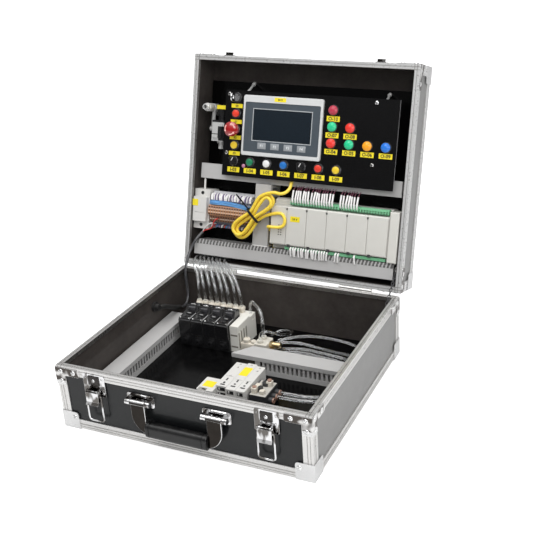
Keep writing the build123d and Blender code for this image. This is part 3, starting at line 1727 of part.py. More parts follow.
def main():
    """Build every sub-part and write it."""
    os.makedirs("parts", exist_ok=True)
    save("base_panels", *tray_panels(BASE, base_height))
    save("lid_panels", *tray_panels(LID, lid_height))
    save("base_extrusions", *tray_extrusions(BASE, base_height))
    save("lid_extrusions", *tray_extrusions(LID, lid_height))
    save("base_corner_fittings", *corner_fittings(BASE, base_height))
    save("lid_corner_fittings", *corner_fittings(LID, lid_height))

    hinge_xs = (-hinge_spacing / 2, hinge_spacing / 2)
    base_hinge, lid_hinge = base_hinge_face(), lid_hinge_face()
    save("base_hinge_hardware",
         *[hinge_leaf(base_hinge, x, True) for x in hinge_xs],
         *[hinge_pin(base_hinge, x) for x in hinge_xs],
         chain_eye(inner_wall(BASE), chain_base_back - case_depth,
                   base_height - chain_base_down))
    save("lid_hinge_hardware",
         *[hinge_leaf(lid_hinge, x, False) for x in hinge_xs],
         chain_eye(inner_wall(LID), -chain_lid_up, lid_height - chain_lid_in))
    save("lid_chain", *lid_chain())

    left, right = -latch_spacing / 2, latch_spacing / 2
    save("latch_plates", latch_plate(left), latch_plate(right))
    save("left_latch_lever", latch_lever(left))
    save("right_latch_lever", latch_lever(right))
    save("left_latch_bail", latch_bail(left))
    save("right_latch_bail", latch_bail(right))
    save("latch_keepers", latch_keeper(left), latch_keeper(right))
    save("handle_brackets", *[handle_bracket(side * handle_span / 2) for side in (-1, 1)])
    strap = handle_strap()
    save("carry_handle", strap, handle_grip(strap))

    save("base_mounting_plate",
         apparatus_plate(BASE, wall + plate_margin, case_depth - wall - plate_margin,
                         base_plate_lift))
    save("lid_mounting_plate",
         apparatus_plate(LID, lid_plate_bottom, lid_plate_top, lid_plate_lift))
    save("base_ducts", *base_ducts())
    save("lid_ducts", *lid_ducts())
    middle = (terminal_bottom + terminal_top) / 2
    save("rails_and_standoffs",
         din_rail(relay_left - 1, upright_duct_at - upright_duct_width / 2 - 4, middle),
         din_rail(upright_duct_at + upright_duct_width / 2 + 4, plc_right + 1,
                  (plc_bottom + plc_top) / 2),
         *standoffs())
    save("terminal_blocks", *terminal_blocks())
    save("relay_module", relay_module())
    save("plc_housing", plc_body(), plc_end_cap())
    save("plc_terminal_strips", *plc_strips())

    save("control_panel", control_panel())
    save("touch_screen_housing", hmi_bezel())
    save("touch_screen_glass", hmi_screen())
    save("switch_collars", *[switch_collar(x, y) for x, y in switch_sites()])
    save("pilot_lights", *[pilot_light(x, y) for x, y in light_sites()])
    for name, (x, y) in button_sites().items():
        save(name, button_cap(x, y))
    for name, (x, y) in selector_sites().items():
        save(name, selector_knob(x, y, 30))
    save("switch_key", switch_key())
    save("emergency_stop_head", stop_head())
    save("emergency_stop_stem", stop_stem())

    save("air_regulator", regulator_body(), inlet_coupler())
    save("regulator_knob", regulator_knob())
    save("coupler_sleeve", coupler_sleeve())
    save("valve_manifold", valve_manifold())
    save("port_block", port_block())
    save("solenoid_valves", *[solenoid_valve(k) for k in range(valve_count)])
    save("push_in_fittings", *push_in_fittings())
    save("lid_tube_fittings", *bulkhead_fittings())
    save("exhaust_silencer", exhaust_tee(), exhaust_silencer())
    save("sensor_modules", *sensor_modules())
    save("module_bases", *module_bases())

    save("air_tube_bundle", *air_tube_bundle())
    save("loose_air_tubes", *loose_air_tubes())
    save("cable_gland", *cable_gland())
    save("lid_cable", routed_tube(lid_cable_points(), cable_radius))
    save("patch_cable", patch_cable())
    save("patch_cable_tie_and_plug", cable_tie(), patch_plug())


main()
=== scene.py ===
"""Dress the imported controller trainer: its finishes, cords, wiring and small hardware."""

import functools
import json
import logging
import math
import random
from dataclasses import dataclass, field
from enum import Enum
from typing import Iterable, Sequence

import bmesh
import bpy
from mathutils import Matrix, Vector

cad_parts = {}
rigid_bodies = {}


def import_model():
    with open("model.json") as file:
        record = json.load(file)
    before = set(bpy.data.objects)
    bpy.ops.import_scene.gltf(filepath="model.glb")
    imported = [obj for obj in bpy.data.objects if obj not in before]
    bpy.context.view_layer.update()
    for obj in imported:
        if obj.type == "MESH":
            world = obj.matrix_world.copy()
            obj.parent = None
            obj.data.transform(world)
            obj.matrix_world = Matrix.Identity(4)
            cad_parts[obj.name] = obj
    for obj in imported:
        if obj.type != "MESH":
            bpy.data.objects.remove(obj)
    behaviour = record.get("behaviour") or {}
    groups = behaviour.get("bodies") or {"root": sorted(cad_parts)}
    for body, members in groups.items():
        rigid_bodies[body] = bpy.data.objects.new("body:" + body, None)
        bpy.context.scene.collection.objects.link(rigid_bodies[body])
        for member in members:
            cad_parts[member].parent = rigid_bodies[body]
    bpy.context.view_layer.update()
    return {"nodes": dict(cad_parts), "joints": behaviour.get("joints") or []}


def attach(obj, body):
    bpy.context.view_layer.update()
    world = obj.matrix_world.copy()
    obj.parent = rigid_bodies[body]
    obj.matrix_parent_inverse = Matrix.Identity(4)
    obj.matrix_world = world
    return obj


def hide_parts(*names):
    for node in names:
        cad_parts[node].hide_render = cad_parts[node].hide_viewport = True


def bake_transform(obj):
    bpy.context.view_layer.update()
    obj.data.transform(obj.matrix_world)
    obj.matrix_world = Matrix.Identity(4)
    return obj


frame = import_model()

LOG = logging.getLogger("trainer")
MM = 0.001
WELD = 0.0005
SMOOTH_ANGLE = 40.0
WIRE_SMOOTH_ANGLE = 60.0
LETTER_WEIGHT = 0.022
SIDES = (-1, 1)

Colour = tuple[float, float, float]
Spot = tuple[float, float, float]
Pair = tuple[float, float]


# Places ---------------------------------------------------------------------------------

@dataclass(frozen=True)
class Place:
    """A half of the case, in which points are given in millimetres.

    Attributes:
        body: Body of the half.
        origin: World point of the half's outer corner, in metres.
        along: Direction from the front, or from the hinge, to the far side.
        out: Direction from the floor to the mouth.
        across: Direction from the left to the right.
    """

    body: str
    origin: Vector
    along: Vector
    out: Vector
    across: Vector = field(default_factory=lambda: Vector((1.0, 0.0, 0.0)))

    def at(self, x: float, y: float, z: float) -> Vector:
        """Give the world point, in metres, of a point in millimetres."""
        return self.origin + (self.across * x + self.along * y + self.out * z) * MM

    def line(self, *spots: Spot) -> list[Vector]:
        """Give the world points of a row of points in millimetres."""
        return [self.at(*spot) for spot in spots]

    def matrix(self) -> Matrix:
        """Give the transform from local millimetres to world metres."""
        turn = Matrix((self.across, self.along, self.out)).transposed().to_4x4()
        return Matrix.Translation(self.origin) @ turn @ Matrix.Scale(MM, 4)


def joint_point(name: str) -> Vector:
    """Give the world point of a joint of the frame."""
    joint = next(joint for joint in frame["joints"] if joint["name"] == name)
    return Vector(joint["pos_m"])


LID_OPENING = math.radians(107.0)
BASE_HEIGHT = 108.0
LID_HEIGHT = 70.0
RIM_GAP = 0.4
HINGE_OFFSET = 3.5
CASE_DEPTH = 380.0
HALF_WIDTH = 210.0
PIN = joint_point("lid_hinge")
BASE = Place(
    "base",
    origin=PIN - Vector((0.0, CASE_DEPTH + HINGE_OFFSET, BASE_HEIGHT + RIM_GAP / 2)) * MM,
    along=Vector((0.0, 1.0, 0.0)),
    out=Vector((0.0, 0.0, 1.0)),
)
LID_ALONG = Vector((0.0, -math.cos(LID_OPENING), math.sin(LID_OPENING)))
LID_OUT = Vector((0.0, -math.sin(LID_OPENING), -math.cos(LID_OPENING)))
LID = Place(
    "lid",
    origin=PIN + (LID_ALONG * HINGE_OFFSET - LID_OUT * (RIM_GAP / 2 + LID_HEIGHT)) * MM,
    along=LID_ALONG,
    out=LID_OUT,
)


# Shader groups --------------------------------------------------------------------------

class NodeKit:
    """Short calls that add and join the nodes of one tree."""

    def __init__(self, tree: bpy.types.NodeTree) -> None:
        """Take the tree to build in."""
        self.tree = tree

    def add(self, kind: str, inputs: dict[str | int, object] | None = None,
            **settings: object) -> bpy.types.Node:
        """Add a node.

        Args:
            kind: Blender's name for the node type.
            inputs: Values or sockets for its inputs, by name or index.
            **settings: Properties of the node.

        Returns:
            The node.
        """
        node = self.tree.nodes.new(kind)
        for key, value in settings.items():
            setattr(node, key, value)
        for key, value in (inputs or {}).items():
            self.put(value, node.inputs[key])
        return node

    def put(self, value: object, socket: bpy.types.NodeSocket) -> None:
        """Join a socket to an input, or set the input to a value.

        Args:
            value: Socket, number, vector or colour, whose alpha may be left out.
            socket: The input.
        """
        if isinstance(value, bpy.types.NodeSocket):
            self.tree.links.new(value, socket)
        elif socket.type == "RGBA" and len(value) == 3:
            socket.default_value = (*value, 1.0)
        else:
            socket.default_value = value

    def sum(self, operation: str, *values: object) -> bpy.types.NodeSocket:
        """Add a Math node and give its output."""
        return self.add("ShaderNodeMath", dict(enumerate(values)), operation=operation).outputs[0]

    def vector(self, operation: str, *values: object) -> bpy.types.Node:
        """Add a Vector Math node."""
        return self.add("ShaderNodeVectorMath", dict(enumerate(values)), operation=operation)

    def blend(self, mask: object, first: object, second: object) -> bpy.types.NodeSocket:
        """Mix two colours by a mask and give the result.

        Args:
            mask: Share of the second colour.
            first: First colour or its socket.
            second: Second colour or its socket.

        Returns:
            The mixed colour.
        """
        mix = self.add("ShaderNodeMix", data_type="RGBA")
        for socket, value in zip((mix.inputs[0], mix.inputs[6], mix.inputs[7]),
                                 (mask, first, second)):
            self.put(value, socket)
        return mix.outputs[2]

    def group(self, group: "Group", **values: object) -> object:
        """Place a shared group and give its outputs."""
        return self.add("ShaderNodeGroup", values, node_tree=GROUPS.get(group)).outputs

    def where(self) -> bpy.types.NodeSocket:
        """Give the object coordinates."""
        return self.add("ShaderNodeTexCoord").outputs["Object"]

    def spot(self, half: "Group") -> bpy.types.NodeSocket:
        """Give the place in the millimetres of one half of the case."""
        return self.group(half, Vector=self.where())[0]

    def box_mask(self, spot: object, low: Spot, high: Spot) -> object:
        """Give 1 inside a box of local millimetres and 0 outside it.

        Args:
            spot: Place in local millimetres.
            low: Lowest corner of the box.
            high: Its highest corner.

        Returns:
            The mask.
        """
        centre = tuple((a + b) / 2 for a, b in zip(low, high))
        half = tuple((b - a) / 2 for a, b in zip(low, high))
        return self.group(Group.IN_BOX, Spot=spot, Centre=centre, Half=half)[0]

    def parts(self, vector: object) -> object:
        """Give the three numbers of a vector."""
        return self.add("ShaderNodeSeparateXYZ", {0: vector}).outputs

    def noise(self, vector: object, **values: object) -> bpy.types.NodeSocket:
        """Give a noise texture, with its settings by name."""
        return self.add("ShaderNodeTexNoise", {"Vector": vector, **values}).outputs[0]

    def union(self, masks: Sequence[object]) -> object:
        """Give the largest of some masks."""
        return functools.reduce(lambda first, second: self.sum("MAXIMUM", first, second), masks)

    def off_centre(self, value: object, size: float) -> bpy.types.NodeSocket:
        """Give how far inside the nearer end of a size a place is."""
        from_middle = self.sum("ABSOLUTE", self.sum("SUBTRACT", value, size / 2))
        return self.sum("SUBTRACT", size / 2, from_middle)

    def range(self, value: object, low: float, high: float, new_low: float,
              new_high: float) -> bpy.types.NodeSocket:
        """Map a value from one range to another, held at its ends."""
        node = self.add("ShaderNodeMapRange", {0: value, 1: low, 2: high, 3: new_low, 4: new_high})
        return node.outputs[0]


def add_socket(tree: bpy.types.NodeTree, name: str, way: str, kind: str,
               value: object = None) -> bpy.types.NodeTreeInterfaceSocket:
    """Add an input or output to a tree.

    Args:
        tree: The tree.
        name: Name of the socket.
        way: INPUT or OUTPUT.
        kind: Blender's name for the socket type, without its first word.
        value: Its default, if it has one.

    Returns:
        The socket.
    """
    socket = tree.interface.new_socket(name, in_out=way, socket_type=f"NodeSocket{kind}")
    if value is not None:
        socket.default_value = value
    return socket


class Group(Enum):
    """The shader groups that the finishes share."""

    TONE = "tone that wanders"
    MOULDED = "moulded grain"
    DRAWN = "drawn grain"
    WOVEN = "woven lining"
    DUST = "settled dust"
    # Edge mask that finishes paint as rubbing and as a painted glint of light.
    WEAR_AND_GLINT = "worn edges"
    LID_SPOT = "lid millimetres"
    BASE_SPOT = "base millimetres"
    IN_BOX = "inside a box"


DUST_COLOUR: Colour = (0.52, 0.5, 0.47)
DUST_ROUGHNESS = 0.35
COAT_ROUGHNESS = 0.06
LEAST_ROUGHNESS = 0.03
VECTOR: tuple[str, object] = ("Vector", None)
GROUP_SOCKETS: dict[Group, tuple[dict[str, tuple[str, object]], dict[str, str]]] = {
    Group.TONE: ({"Vector": VECTOR, "Colour": ("Color", None), "Scale": ("Float", 40.0),
                  "Amount": ("Float", 0.1)}, {"Colour": "Color"}),
    Group.MOULDED: ({"Vector": VECTOR, "Scale": ("Float", 900.0)}, {"Height": "Float"}),
    Group.DRAWN: ({"Vector": VECTOR, "Stretch": VECTOR}, {"Height": "Float"}),
    Group.WOVEN: ({"Vector": VECTOR, "Scale": ("Float", 700.0)}, {"Height": "Float"}),
    Group.DUST: ({"Vector": VECTOR, "Colour": ("Color", None), "Amount": ("Float", 0.1)},
                 {"Colour": "Color", "Mask": "Float"}),
    Group.WEAR_AND_GLINT: ({"Radius": ("Float", 0.0009)}, {"Mask": "Float"}),
    Group.LID_SPOT: ({"Vector": VECTOR}, {"Spot": "Vector"}),
    Group.BASE_SPOT: ({"Vector": VECTOR}, {"Spot": "Vector"}),
    Group.IN_BOX: ({"Spot": VECTOR, "Centre": VECTOR, "Half": VECTOR}, {"Mask": "Float"}),
}


class GroupMaker:
    """Builds each shader group once."""

    def __init__(self) -> None:
        """Start with no groups."""
        self.made: dict[Group, bpy.types.NodeTree] = {}

    def get(self, group: Group) -> bpy.types.NodeTree:
        """Give a group's tree, built when it is first asked for.

        Args:
            group: Which group.

        Returns:
            Its tree.
        """
        if group not in self.made:
            tree = bpy.data.node_groups.new(group.value, "ShaderNodeTree")
            inputs, outputs = GROUP_SOCKETS[group]
            for name, (kind, value) in inputs.items():
                add_socket(tree, name, "INPUT", kind, value)
            for name, kind in outputs.items():
                add_socket(tree, name, "OUTPUT", kind)
            kit = NodeKit(tree)
            taken = kit.add("NodeGroupInput").outputs
            given = kit.add("NodeGroupOutput").inputs
            for name, socket in self.body(group, kit, taken).items():
                tree.links.new(socket, given[name])
            self.made[group] = tree
        return self.made[group]

    def body(self, group: Group, kit: NodeKit, taken: object) -> dict[str, object]:
        """Build what is inside a group.

        Args:
            group: Which group.
            kit: Kit of the group's tree.
            taken: The group's inputs.

        Returns:
            The socket for each output, by name.
        """
        if group is Group.TONE:
            noise = kit.noise(taken["Vector"], Scale=taken["Scale"], Detail=3.0, Roughness=0.6)
            shift = kit.sum("MULTIPLY", kit.sum("SUBTRACT", noise, 0.5),
                            kit.sum("MULTIPLY", taken["Amount"], 2.0))
            gain = kit.sum("ADD", 1.0, shift)
            scaled = kit.add("ShaderNodeVectorMath", {0: taken["Colour"], 3: gain},
                             operation="SCALE")
            return {"Colour": scaled.outputs[0]}
        if group is Group.MOULDED:
            return {"Height": kit.noise(taken["Vector"], Scale=taken["Scale"], Detail=2.0,
                                        Roughness=0.55)}
        if group is Group.DRAWN:
            pulled = kit.vector("MULTIPLY", taken["Vector"], taken["Stretch"]).outputs[0]
            return {"Height": kit.noise(pulled, Scale=1.0, Detail=4.0, Roughness=0.65)}
        if group is Group.WOVEN:
            spots = kit.add("ShaderNodeTexVoronoi", {
                "Vector": taken["Vector"], "Scale": taken["Scale"]})
            noise = kit.noise(taken["Vector"], Scale=kit.sum("MULTIPLY", taken["Scale"], 0.35),
                              Detail=4.0)
            return {"Height": kit.sum("ADD", kit.sum("MULTIPLY", spots.outputs[0], 0.5), noise)}
        if group is Group.DUST:
            facing = kit.parts(kit.add("ShaderNodeNewGeometry").outputs["Normal"])[2]
            noise = kit.noise(taken["Vector"], Scale=90.0, Detail=6.0, Roughness=0.7)
            lying = kit.range(facing, 0.2, 0.95, 0.15, 1.0)
            speckle = kit.range(noise, 0.42, 0.72, 0.0, 1.0)
            mask = kit.sum("MULTIPLY", kit.sum("MULTIPLY", lying, speckle), taken["Amount"])
            return {"Colour": kit.blend(mask, taken["Colour"], DUST_COLOUR), "Mask": mask}
        if group is Group.WEAR_AND_GLINT:
            bevel = kit.add("ShaderNodeBevel", {"Radius": taken["Radius"]}, samples=3)
            flat = kit.add("ShaderNodeNewGeometry").outputs["Normal"]
            alike = kit.vector("DOT_PRODUCT", bevel.outputs[0], flat).outputs[1]
            return {"Mask": kit.range(alike, 0.98, 0.86, 0.0, 1.0)}
        if group is Group.IN_BOX:
            away = kit.vector("ABSOLUTE", kit.vector(
                "SUBTRACT", taken["Spot"], taken["Centre"]).outputs[0]).outputs[0]
            left = kit.parts(kit.vector("SUBTRACT", away, taken["Half"]).outputs[0])
            return {"Mask": kit.sum("LESS_THAN", kit.union([left[0], left[1], left[2]]), 0.0)}
        place = LID if group is Group.LID_SPOT else BASE
        moved = kit.vector("SUBTRACT", taken["Vector"], tuple(place.origin)).outputs[0]
        parts = [kit.sum("MULTIPLY", kit.vector("DOT_PRODUCT", moved, tuple(axis)).outputs[1],
                         1 / MM) for axis in (place.across, place.along, place.out)]
        joined = kit.add("ShaderNodeCombineXYZ", dict(enumerate(parts)))
        return {"Spot": joined.outputs[0]}


GROUPS = GroupMaker()


# Finishes -------------------------------------------------------------------------------

class Grain(Enum):
    """The kinds of fine surface that a finish can have."""

    MOULDED = Group.MOULDED
    DRAWN = Group.DRAWN
    WOVEN = Group.WOVEN


@dataclass(frozen=True)
class Finish:
    """One material: a wandering colour, a fine surface, dust, rubbed edges and painted edge glint.

    Attributes:
        name: Name of the Blender material.
        colour: Linear colour.
        roughness: Roughness of the clean surface.
        metallic: Metallic weight.
        coat: Weight of the clear coat.
        tone: Share by which the colour wanders.
        tone_scale: Scale of that wandering, per metre.
        grain: Kind of fine surface.
        grain_scale: Scale of the fine surface, per metre, or its stretch along each axis.
        relief: Height of the fine surface, in metres.
        gloss_shift: How much the fine surface changes the roughness.
        dust: Amount of dust on faces that look up.
        wear_and_glint: How far edges turn to the edge colour, for rubbing and a painted glint.
        worn_and_glinting: Colour of those edges, rubbed and lit by a painted glint.
    """

    name: str
    colour: Colour
    roughness: float
    metallic: float = 0.0
    coat: float = 0.0
    tone: float = 0.05
    tone_scale: float = 45.0
    grain: Grain = Grain.MOULDED
    grain_scale: float | Spot = 1400.0
    relief: float = 0.00003
    gloss_shift: float = 0.08
    dust: float = 0.03
    wear_and_glint: float = 0.0
    worn_and_glinting: Colour = (0.6, 0.6, 0.6)

    def paint(self, kit: NodeKit) -> dict[str, object]:
        """Give the colour before its tone, and any other socket that this finish varies.

        Args:
            kit: Kit of the material's tree.

        Returns:
            Sockets or values by the name of the shader's input.
        """
        return {"Base Color": self.colour}

    def build(self) -> bpy.types.Material:
        """Make the material, or give it if it is there already.

        Returns:
            The material.
        """
        if self.name in bpy.data.materials:
            return bpy.data.materials[self.name]
        material = bpy.data.materials.new(self.name)
        material.use_nodes = True
        material.node_tree.nodes.clear()
        kit = NodeKit(material.node_tree)
        where = kit.where()
        painted = self.paint(kit)
        toned = kit.group(Group.TONE, Vector=where, Colour=painted.pop("Base Color"),
                          Scale=self.tone_scale, Amount=self.tone)[0]
        # Paler edges: rubbing, and a painted glint of light along them.
        if self.wear_and_glint:
            mask = kit.sum("MULTIPLY", kit.group(Group.WEAR_AND_GLINT)[0], self.wear_and_glint)
            toned = kit.blend(mask, toned, self.worn_and_glinting)
        dusted, dust_mask = kit.group(Group.DUST, Vector=where, Colour=toned, Amount=self.dust)
        key = "Stretch" if self.grain is Grain.DRAWN else "Scale"
        height = kit.group(self.grain.value, Vector=where, **{key: self.grain_scale})[0]
        bump = kit.add("ShaderNodeBump", {"Height": height, "Distance": self.relief,
                                          "Strength": 1.0})
        shift = kit.range(height, 0.3, 0.7, -self.gloss_shift, self.gloss_shift)
        rough = kit.sum("ADD", kit.sum("ADD", painted.pop("Roughness", self.roughness), shift),
                        kit.sum("MULTIPLY", dust_mask, DUST_ROUGHNESS))
        shader = kit.add("ShaderNodeBsdfPrincipled", {
            "Metallic": self.metallic, "Coat Weight": self.coat, "Coat Roughness": COAT_ROUGHNESS,
            **painted, **self.extra(), "Base Color": dusted,
            "Roughness": kit.sum("MAXIMUM", rough, LEAST_ROUGHNESS), "Normal": bump.outputs[0]})
        kit.add("ShaderNodeOutputMaterial", {0: shader.outputs[0]})
        return material

    def extra(self) -> dict[str, object]:
        """Give the shader inputs that only some finishes set."""
        return {}


@dataclass(frozen=True)
class LinedPanel(Finish):
    """Laminate outside and a dark lining inside, on the walls of one half."""

    spot: Group = Group.BASE_SPOT
    lining: Colour = (0.036, 0.030, 0.027)
    lining_worn: Colour = (0.062, 0.053, 0.048)
    lining_roughness: float = 0.85
    # Paler grey of the outer sides: a painted sheen of the pale room.
    side: Colour = (0.205, 0.203, 0.2)
    sheen_side_from: float = 206.0
    wall: float = 4.5
    reflection: float = 0.26

    def paint(self, kit: NodeKit) -> dict[str, object]:
        """Give the laminate, its sides paler with a painted sheen of the pale room, and the
        lining inside the half's walls.

        Args:
            kit: Kit of the material's tree.

        Returns:
            Sockets or values by the name of the shader's input.
        """
        spot = kit.spot(self.spot)
        wall = self.wall
        inside = kit.box_mask(spot, (wall - HALF_WIDTH, wall, wall),
                              (HALF_WIDTH - wall, CASE_DEPTH - wall, 400.0))
        mottled = kit.noise(kit.where(), Scale=14.0, Detail=8.0, Roughness=0.75)
        lining = kit.blend(kit.range(mottled, 0.35, 0.7, 0.0, 1.0), self.lining, self.lining_worn)
        rough = kit.range(inside, 0.0, 1.0, self.roughness, self.lining_roughness)
        across = kit.sum("ABSOLUTE", kit.parts(spot)[0])
        outer = kit.blend(kit.sum("GREATER_THAN", across, self.sheen_side_from), self.colour, self.side)
        return {"Base Color": kit.blend(inside, outer, lining), "Roughness": rough}

    def extra(self) -> dict[str, object]:
        """Keep the laminate's reflection of the pale room low."""
        return {"Specular IOR Level": self.reflection}


@dataclass(frozen=True)
class DarkBoard(Finish):
    """Black board that mirrors little of the pale room."""

    reflection: float = 0.2

    def extra(self) -> dict[str, object]:
        """Keep the board's reflection low."""
        return {"Specular IOR Level": self.reflection}


@dataclass(frozen=True)
class Extrusion(Finish):
    """Drawn aluminium whose section's fine grooves are drawn as dark lines of painted shade."""

    spot: Group = Group.BASE_SPOT
    height: float = BASE_HEIGHT
    grooves: tuple[float, ...] = (4.3, 9.0)
    # Colour of the painted shade in the grooves.
    groove: Colour = (0.26, 0.25, 0.24)
    groove_half: float = 0.42

    def paint(self, kit: NodeKit) -> dict[str, object]:
        """Paint the grooves' shade as dark lines at set distances from the half's outer edges.

        Args:
            kit: Kit of the material's tree.

        Returns:
            Sockets or values by the name of the shader's input.
        """
        place = kit.parts(kit.spot(self.spot))
        across = kit.sum("SUBTRACT", HALF_WIDTH, kit.sum("ABSOLUTE", place[0]))
        edges = (across, kit.off_centre(place[1], CASE_DEPTH),
                 kit.off_centre(place[2], self.height))
        mask = kit.union([
            kit.sum("LESS_THAN", kit.sum("ABSOLUTE", kit.sum("SUBTRACT", edge, groove)),
                    self.groove_half) for edge in edges for groove in self.grooves])
        return {"Base Color": kit.blend(mask, self.colour, self.groove)}


@dataclass(frozen=True)
class PaintedReflectionPlating(Finish):
    """Plating with a painted reflection: dark streaks of the room among the bright."""

    # Colour and share of the painted dark reflection.
    dark: Colour = (0.16, 0.15, 0.14)
    share: float = 0.47

    def paint(self, kit: NodeKit) -> dict[str, object]:
        """Paint the reflection of the room on the plating as soft dark streaks.

        Args:
            kit: Kit of the material's tree.

        Returns:
            Sockets or values by the name of the shader's input.
        """
        pulled = kit.vector("MULTIPLY", kit.where(), (1.0, 0.7, 0.45)).outputs[0]
        streaks = kit.noise(pulled, Scale=95.0, Detail=1.5)
        mask = kit.range(streaks, self.share - 0.03, self.share + 0.07, 1.0, 0.0)
        return {"Base Color": kit.blend(mask, self.colour, self.dark)}


def facing_mask(kit: NodeKit, axis: Spot) -> bpy.types.NodeSocket:
    """Give 1 where the piece's own surface faces along an axis, and 0 on its edges.

    Args:
        kit: Kit of the material's tree.
        axis: Direction of the axis.

    Returns:
        The mask.
    """
    normal = kit.add("ShaderNodeTexCoord").outputs["Normal"]
    alike = kit.sum("ABSOLUTE", kit.vector("DOT_PRODUCT", normal, axis).outputs[1])
    return kit.range(alike, 0.86, 0.97, 0.0, 1.0)


@dataclass(frozen=True)
class CornerPlates(Finish):
    """Bright corner posts and caps under plates whose polish shows a painted dark reflection."""

    spot: Group = Group.BASE_SPOT
    level: float = 83.0
    # Painted reflection on the plates' flat faces: dark, broken by bright streaks.
    plate: Colour = (0.085, 0.075, 0.068)
    reflected_light_streak: Colour = (0.78, 0.77, 0.76)
    plate_roughness: float = 0.12

    def paint(self, kit: NodeKit) -> dict[str, object]:
        """Paint a dark reflection with bright streaks on the plates' flat faces over the level.

        Args:
            kit: Kit of the material's tree.

        Returns:
            Sockets or values by the name of the shader's input.
        """
        rise = kit.parts(kit.spot(self.spot))[2]
        over = kit.sum("GREATER_THAN", rise, self.level)
        place = LID if self.spot is Group.LID_SPOT else BASE
        flat = kit.sum("MAXIMUM", facing_mask(kit, (1.0, 0.0, 0.0)),
                       facing_mask(kit, tuple(place.along)))
        over = kit.sum("MULTIPLY", over, flat)
        streaks = kit.range(kit.noise(kit.where(), Scale=55.0, Detail=1.0), 0.5, 0.6, 0.0, 1.0)
        plate = kit.blend(streaks, self.plate, self.reflected_light_streak)
        return {"Base Color": kit.blend(over, self.colour, plate),
                "Roughness": kit.range(over, 0.0, 1.0, self.roughness, self.plate_roughness)}


@dataclass(frozen=True)
class ScreenHousing(Finish):
    """Pale moulding with a slate face round the window and a dark rear."""

    slate: Colour = (0.062, 0.078, 0.094)
    rear: Colour = (0.05, 0.05, 0.052)

    def paint(self, kit: NodeKit) -> dict[str, object]:
        """Give the slate face round the window and the dark rear.

        Args:
            kit: Kit of the material's tree.

        Returns:
            Sockets or values by the name of the shader's input.
        """
        spot = kit.spot(Group.LID_SPOT)
        face = kit.box_mask(spot, (-102.1, 214.9, 60.0), (42.1, 302.1, 70.4))
        rear = kit.box_mask(spot, (-200.0, 100.0, 0.0), (100.0, 400.0, 65.9))
        front = kit.blend(face, self.colour, self.slate)
        return {"Base Color": kit.blend(rear, front, self.rear)}


@dataclass(frozen=True)
class TerminalRows(Finish):
    """The terminals' levels, each in its own moulding colour."""

    bands: tuple[tuple[float, Colour], ...] = ()

    def paint(self, kit: NodeKit) -> dict[str, object]:
        """Give the colour of each level by its height on the lid.

        Args:
            kit: Kit of the material's tree.

        Returns:
            Sockets or values by the name of the shader's input.
        """
        up = kit.parts(kit.spot(Group.LID_SPOT))[1]
        colour: object = self.bands[0][1]
        for start, band in self.bands[1:]:
            colour = kit.blend(kit.sum("GREATER_THAN", up, start), colour, band)
        return {"Base Color": colour}


@dataclass(frozen=True)
class TwoTone(Finish):
    """A finish with a second colour, roughness and metal inside some boxes."""

    spot: Group = Group.LID_SPOT
    boxes: tuple[tuple[Spot, Spot], ...] = ()
    second: Colour = (0.02, 0.02, 0.02)
    second_roughness: float = 0.4
    second_metallic: float = 0.0

    def paint(self, kit: NodeKit) -> dict[str, object]:
        """Give the second finish inside the boxes.

        Args:
            kit: Kit of the material's tree.

        Returns:
            Sockets or values by the name of the shader's input.
        """
        spot = kit.spot(self.spot)
        mask = kit.union([kit.box_mask(spot, low, high) for low, high in self.boxes])
        return {
            "Base Color": kit.blend(mask, self.colour, self.second),
            "Roughness": kit.range(mask, 0.0, 1.0, self.roughness, self.second_roughness),
            "Metallic": kit.range(mask, 0.0, 1.0, self.metallic, self.second_metallic),
        }


@dataclass(frozen=True)
class HandleStrap(TwoTone):
    """Dark polish on the strap's face, a painted edge highlight and the black grip's moulding."""

    # Colour of the painted highlight on the strap's edges.
    edge: Colour = (0.88, 0.88, 0.88)

    def paint(self, kit: NodeKit) -> dict[str, object]:
        """Paint a highlight on the strap's edges.

        Args:
            kit: Kit of the material's tree.

        Returns:
            Sockets or values by the name of the shader's input.
        """
        painted = super().paint(kit)
        grip = kit.box_mask(kit.spot(self.spot), *self.boxes[0])
        edge = kit.sum("SUBTRACT", kit.sum("SUBTRACT", 1.0, facing_mask(kit, (0.0, 1.0, 0.0))),
                       grip)
        painted["Base Color"] = kit.blend(kit.sum("MAXIMUM", edge, 0.0), painted["Base Color"],
                                          self.edge)
        return painted


@dataclass(frozen=True)
class ClearTube(Finish):
    """Clear air tube: a see-through wall under a bright glossy skin."""

    def extra(self) -> dict[str, object]:
        """Let the light through nearly straight and leave the reflection to the skin."""
        return {"Transmission Weight": 1.0, "IOR": 1.07, "Coat IOR": 2.1, "Coat Roughness": 0.05}


@dataclass(frozen=True)
class Lens(Finish):
    """A lamp's coloured lens with a faint painted glow, as if lit a little from inside."""

    def extra(self) -> dict[str, object]:
        """Paint a faint glow of the lens's own colour."""
        return {"Emission Color": self.colour, "Emission Strength": 0.18}


# Chrome: its dark streaks are a painted reflection and its pale edges a painted glint.
CHROME = PaintedReflectionPlating("chrome", (0.84, 0.84, 0.85), 0.09, metallic=1.0, tone=0.03, relief=0.000008,
                  gloss_shift=0.03, dust=0.02, wear_and_glint=0.7, worn_and_glinting=(0.95, 0.95, 0.95))
STEEL = Finish("zinc plated steel", (0.62, 0.61, 0.59), 0.27, metallic=1.0, tone=0.08,
               relief=0.00002)
BLACK_STEEL = Finish("blackened chain steel", (0.11, 0.11, 0.115), 0.33, metallic=0.9)
BRIGHT_SCREW = Finish("bright screw", (0.9, 0.9, 0.9), 0.16, metallic=1.0, tone=0.04,
                      relief=0.00001)
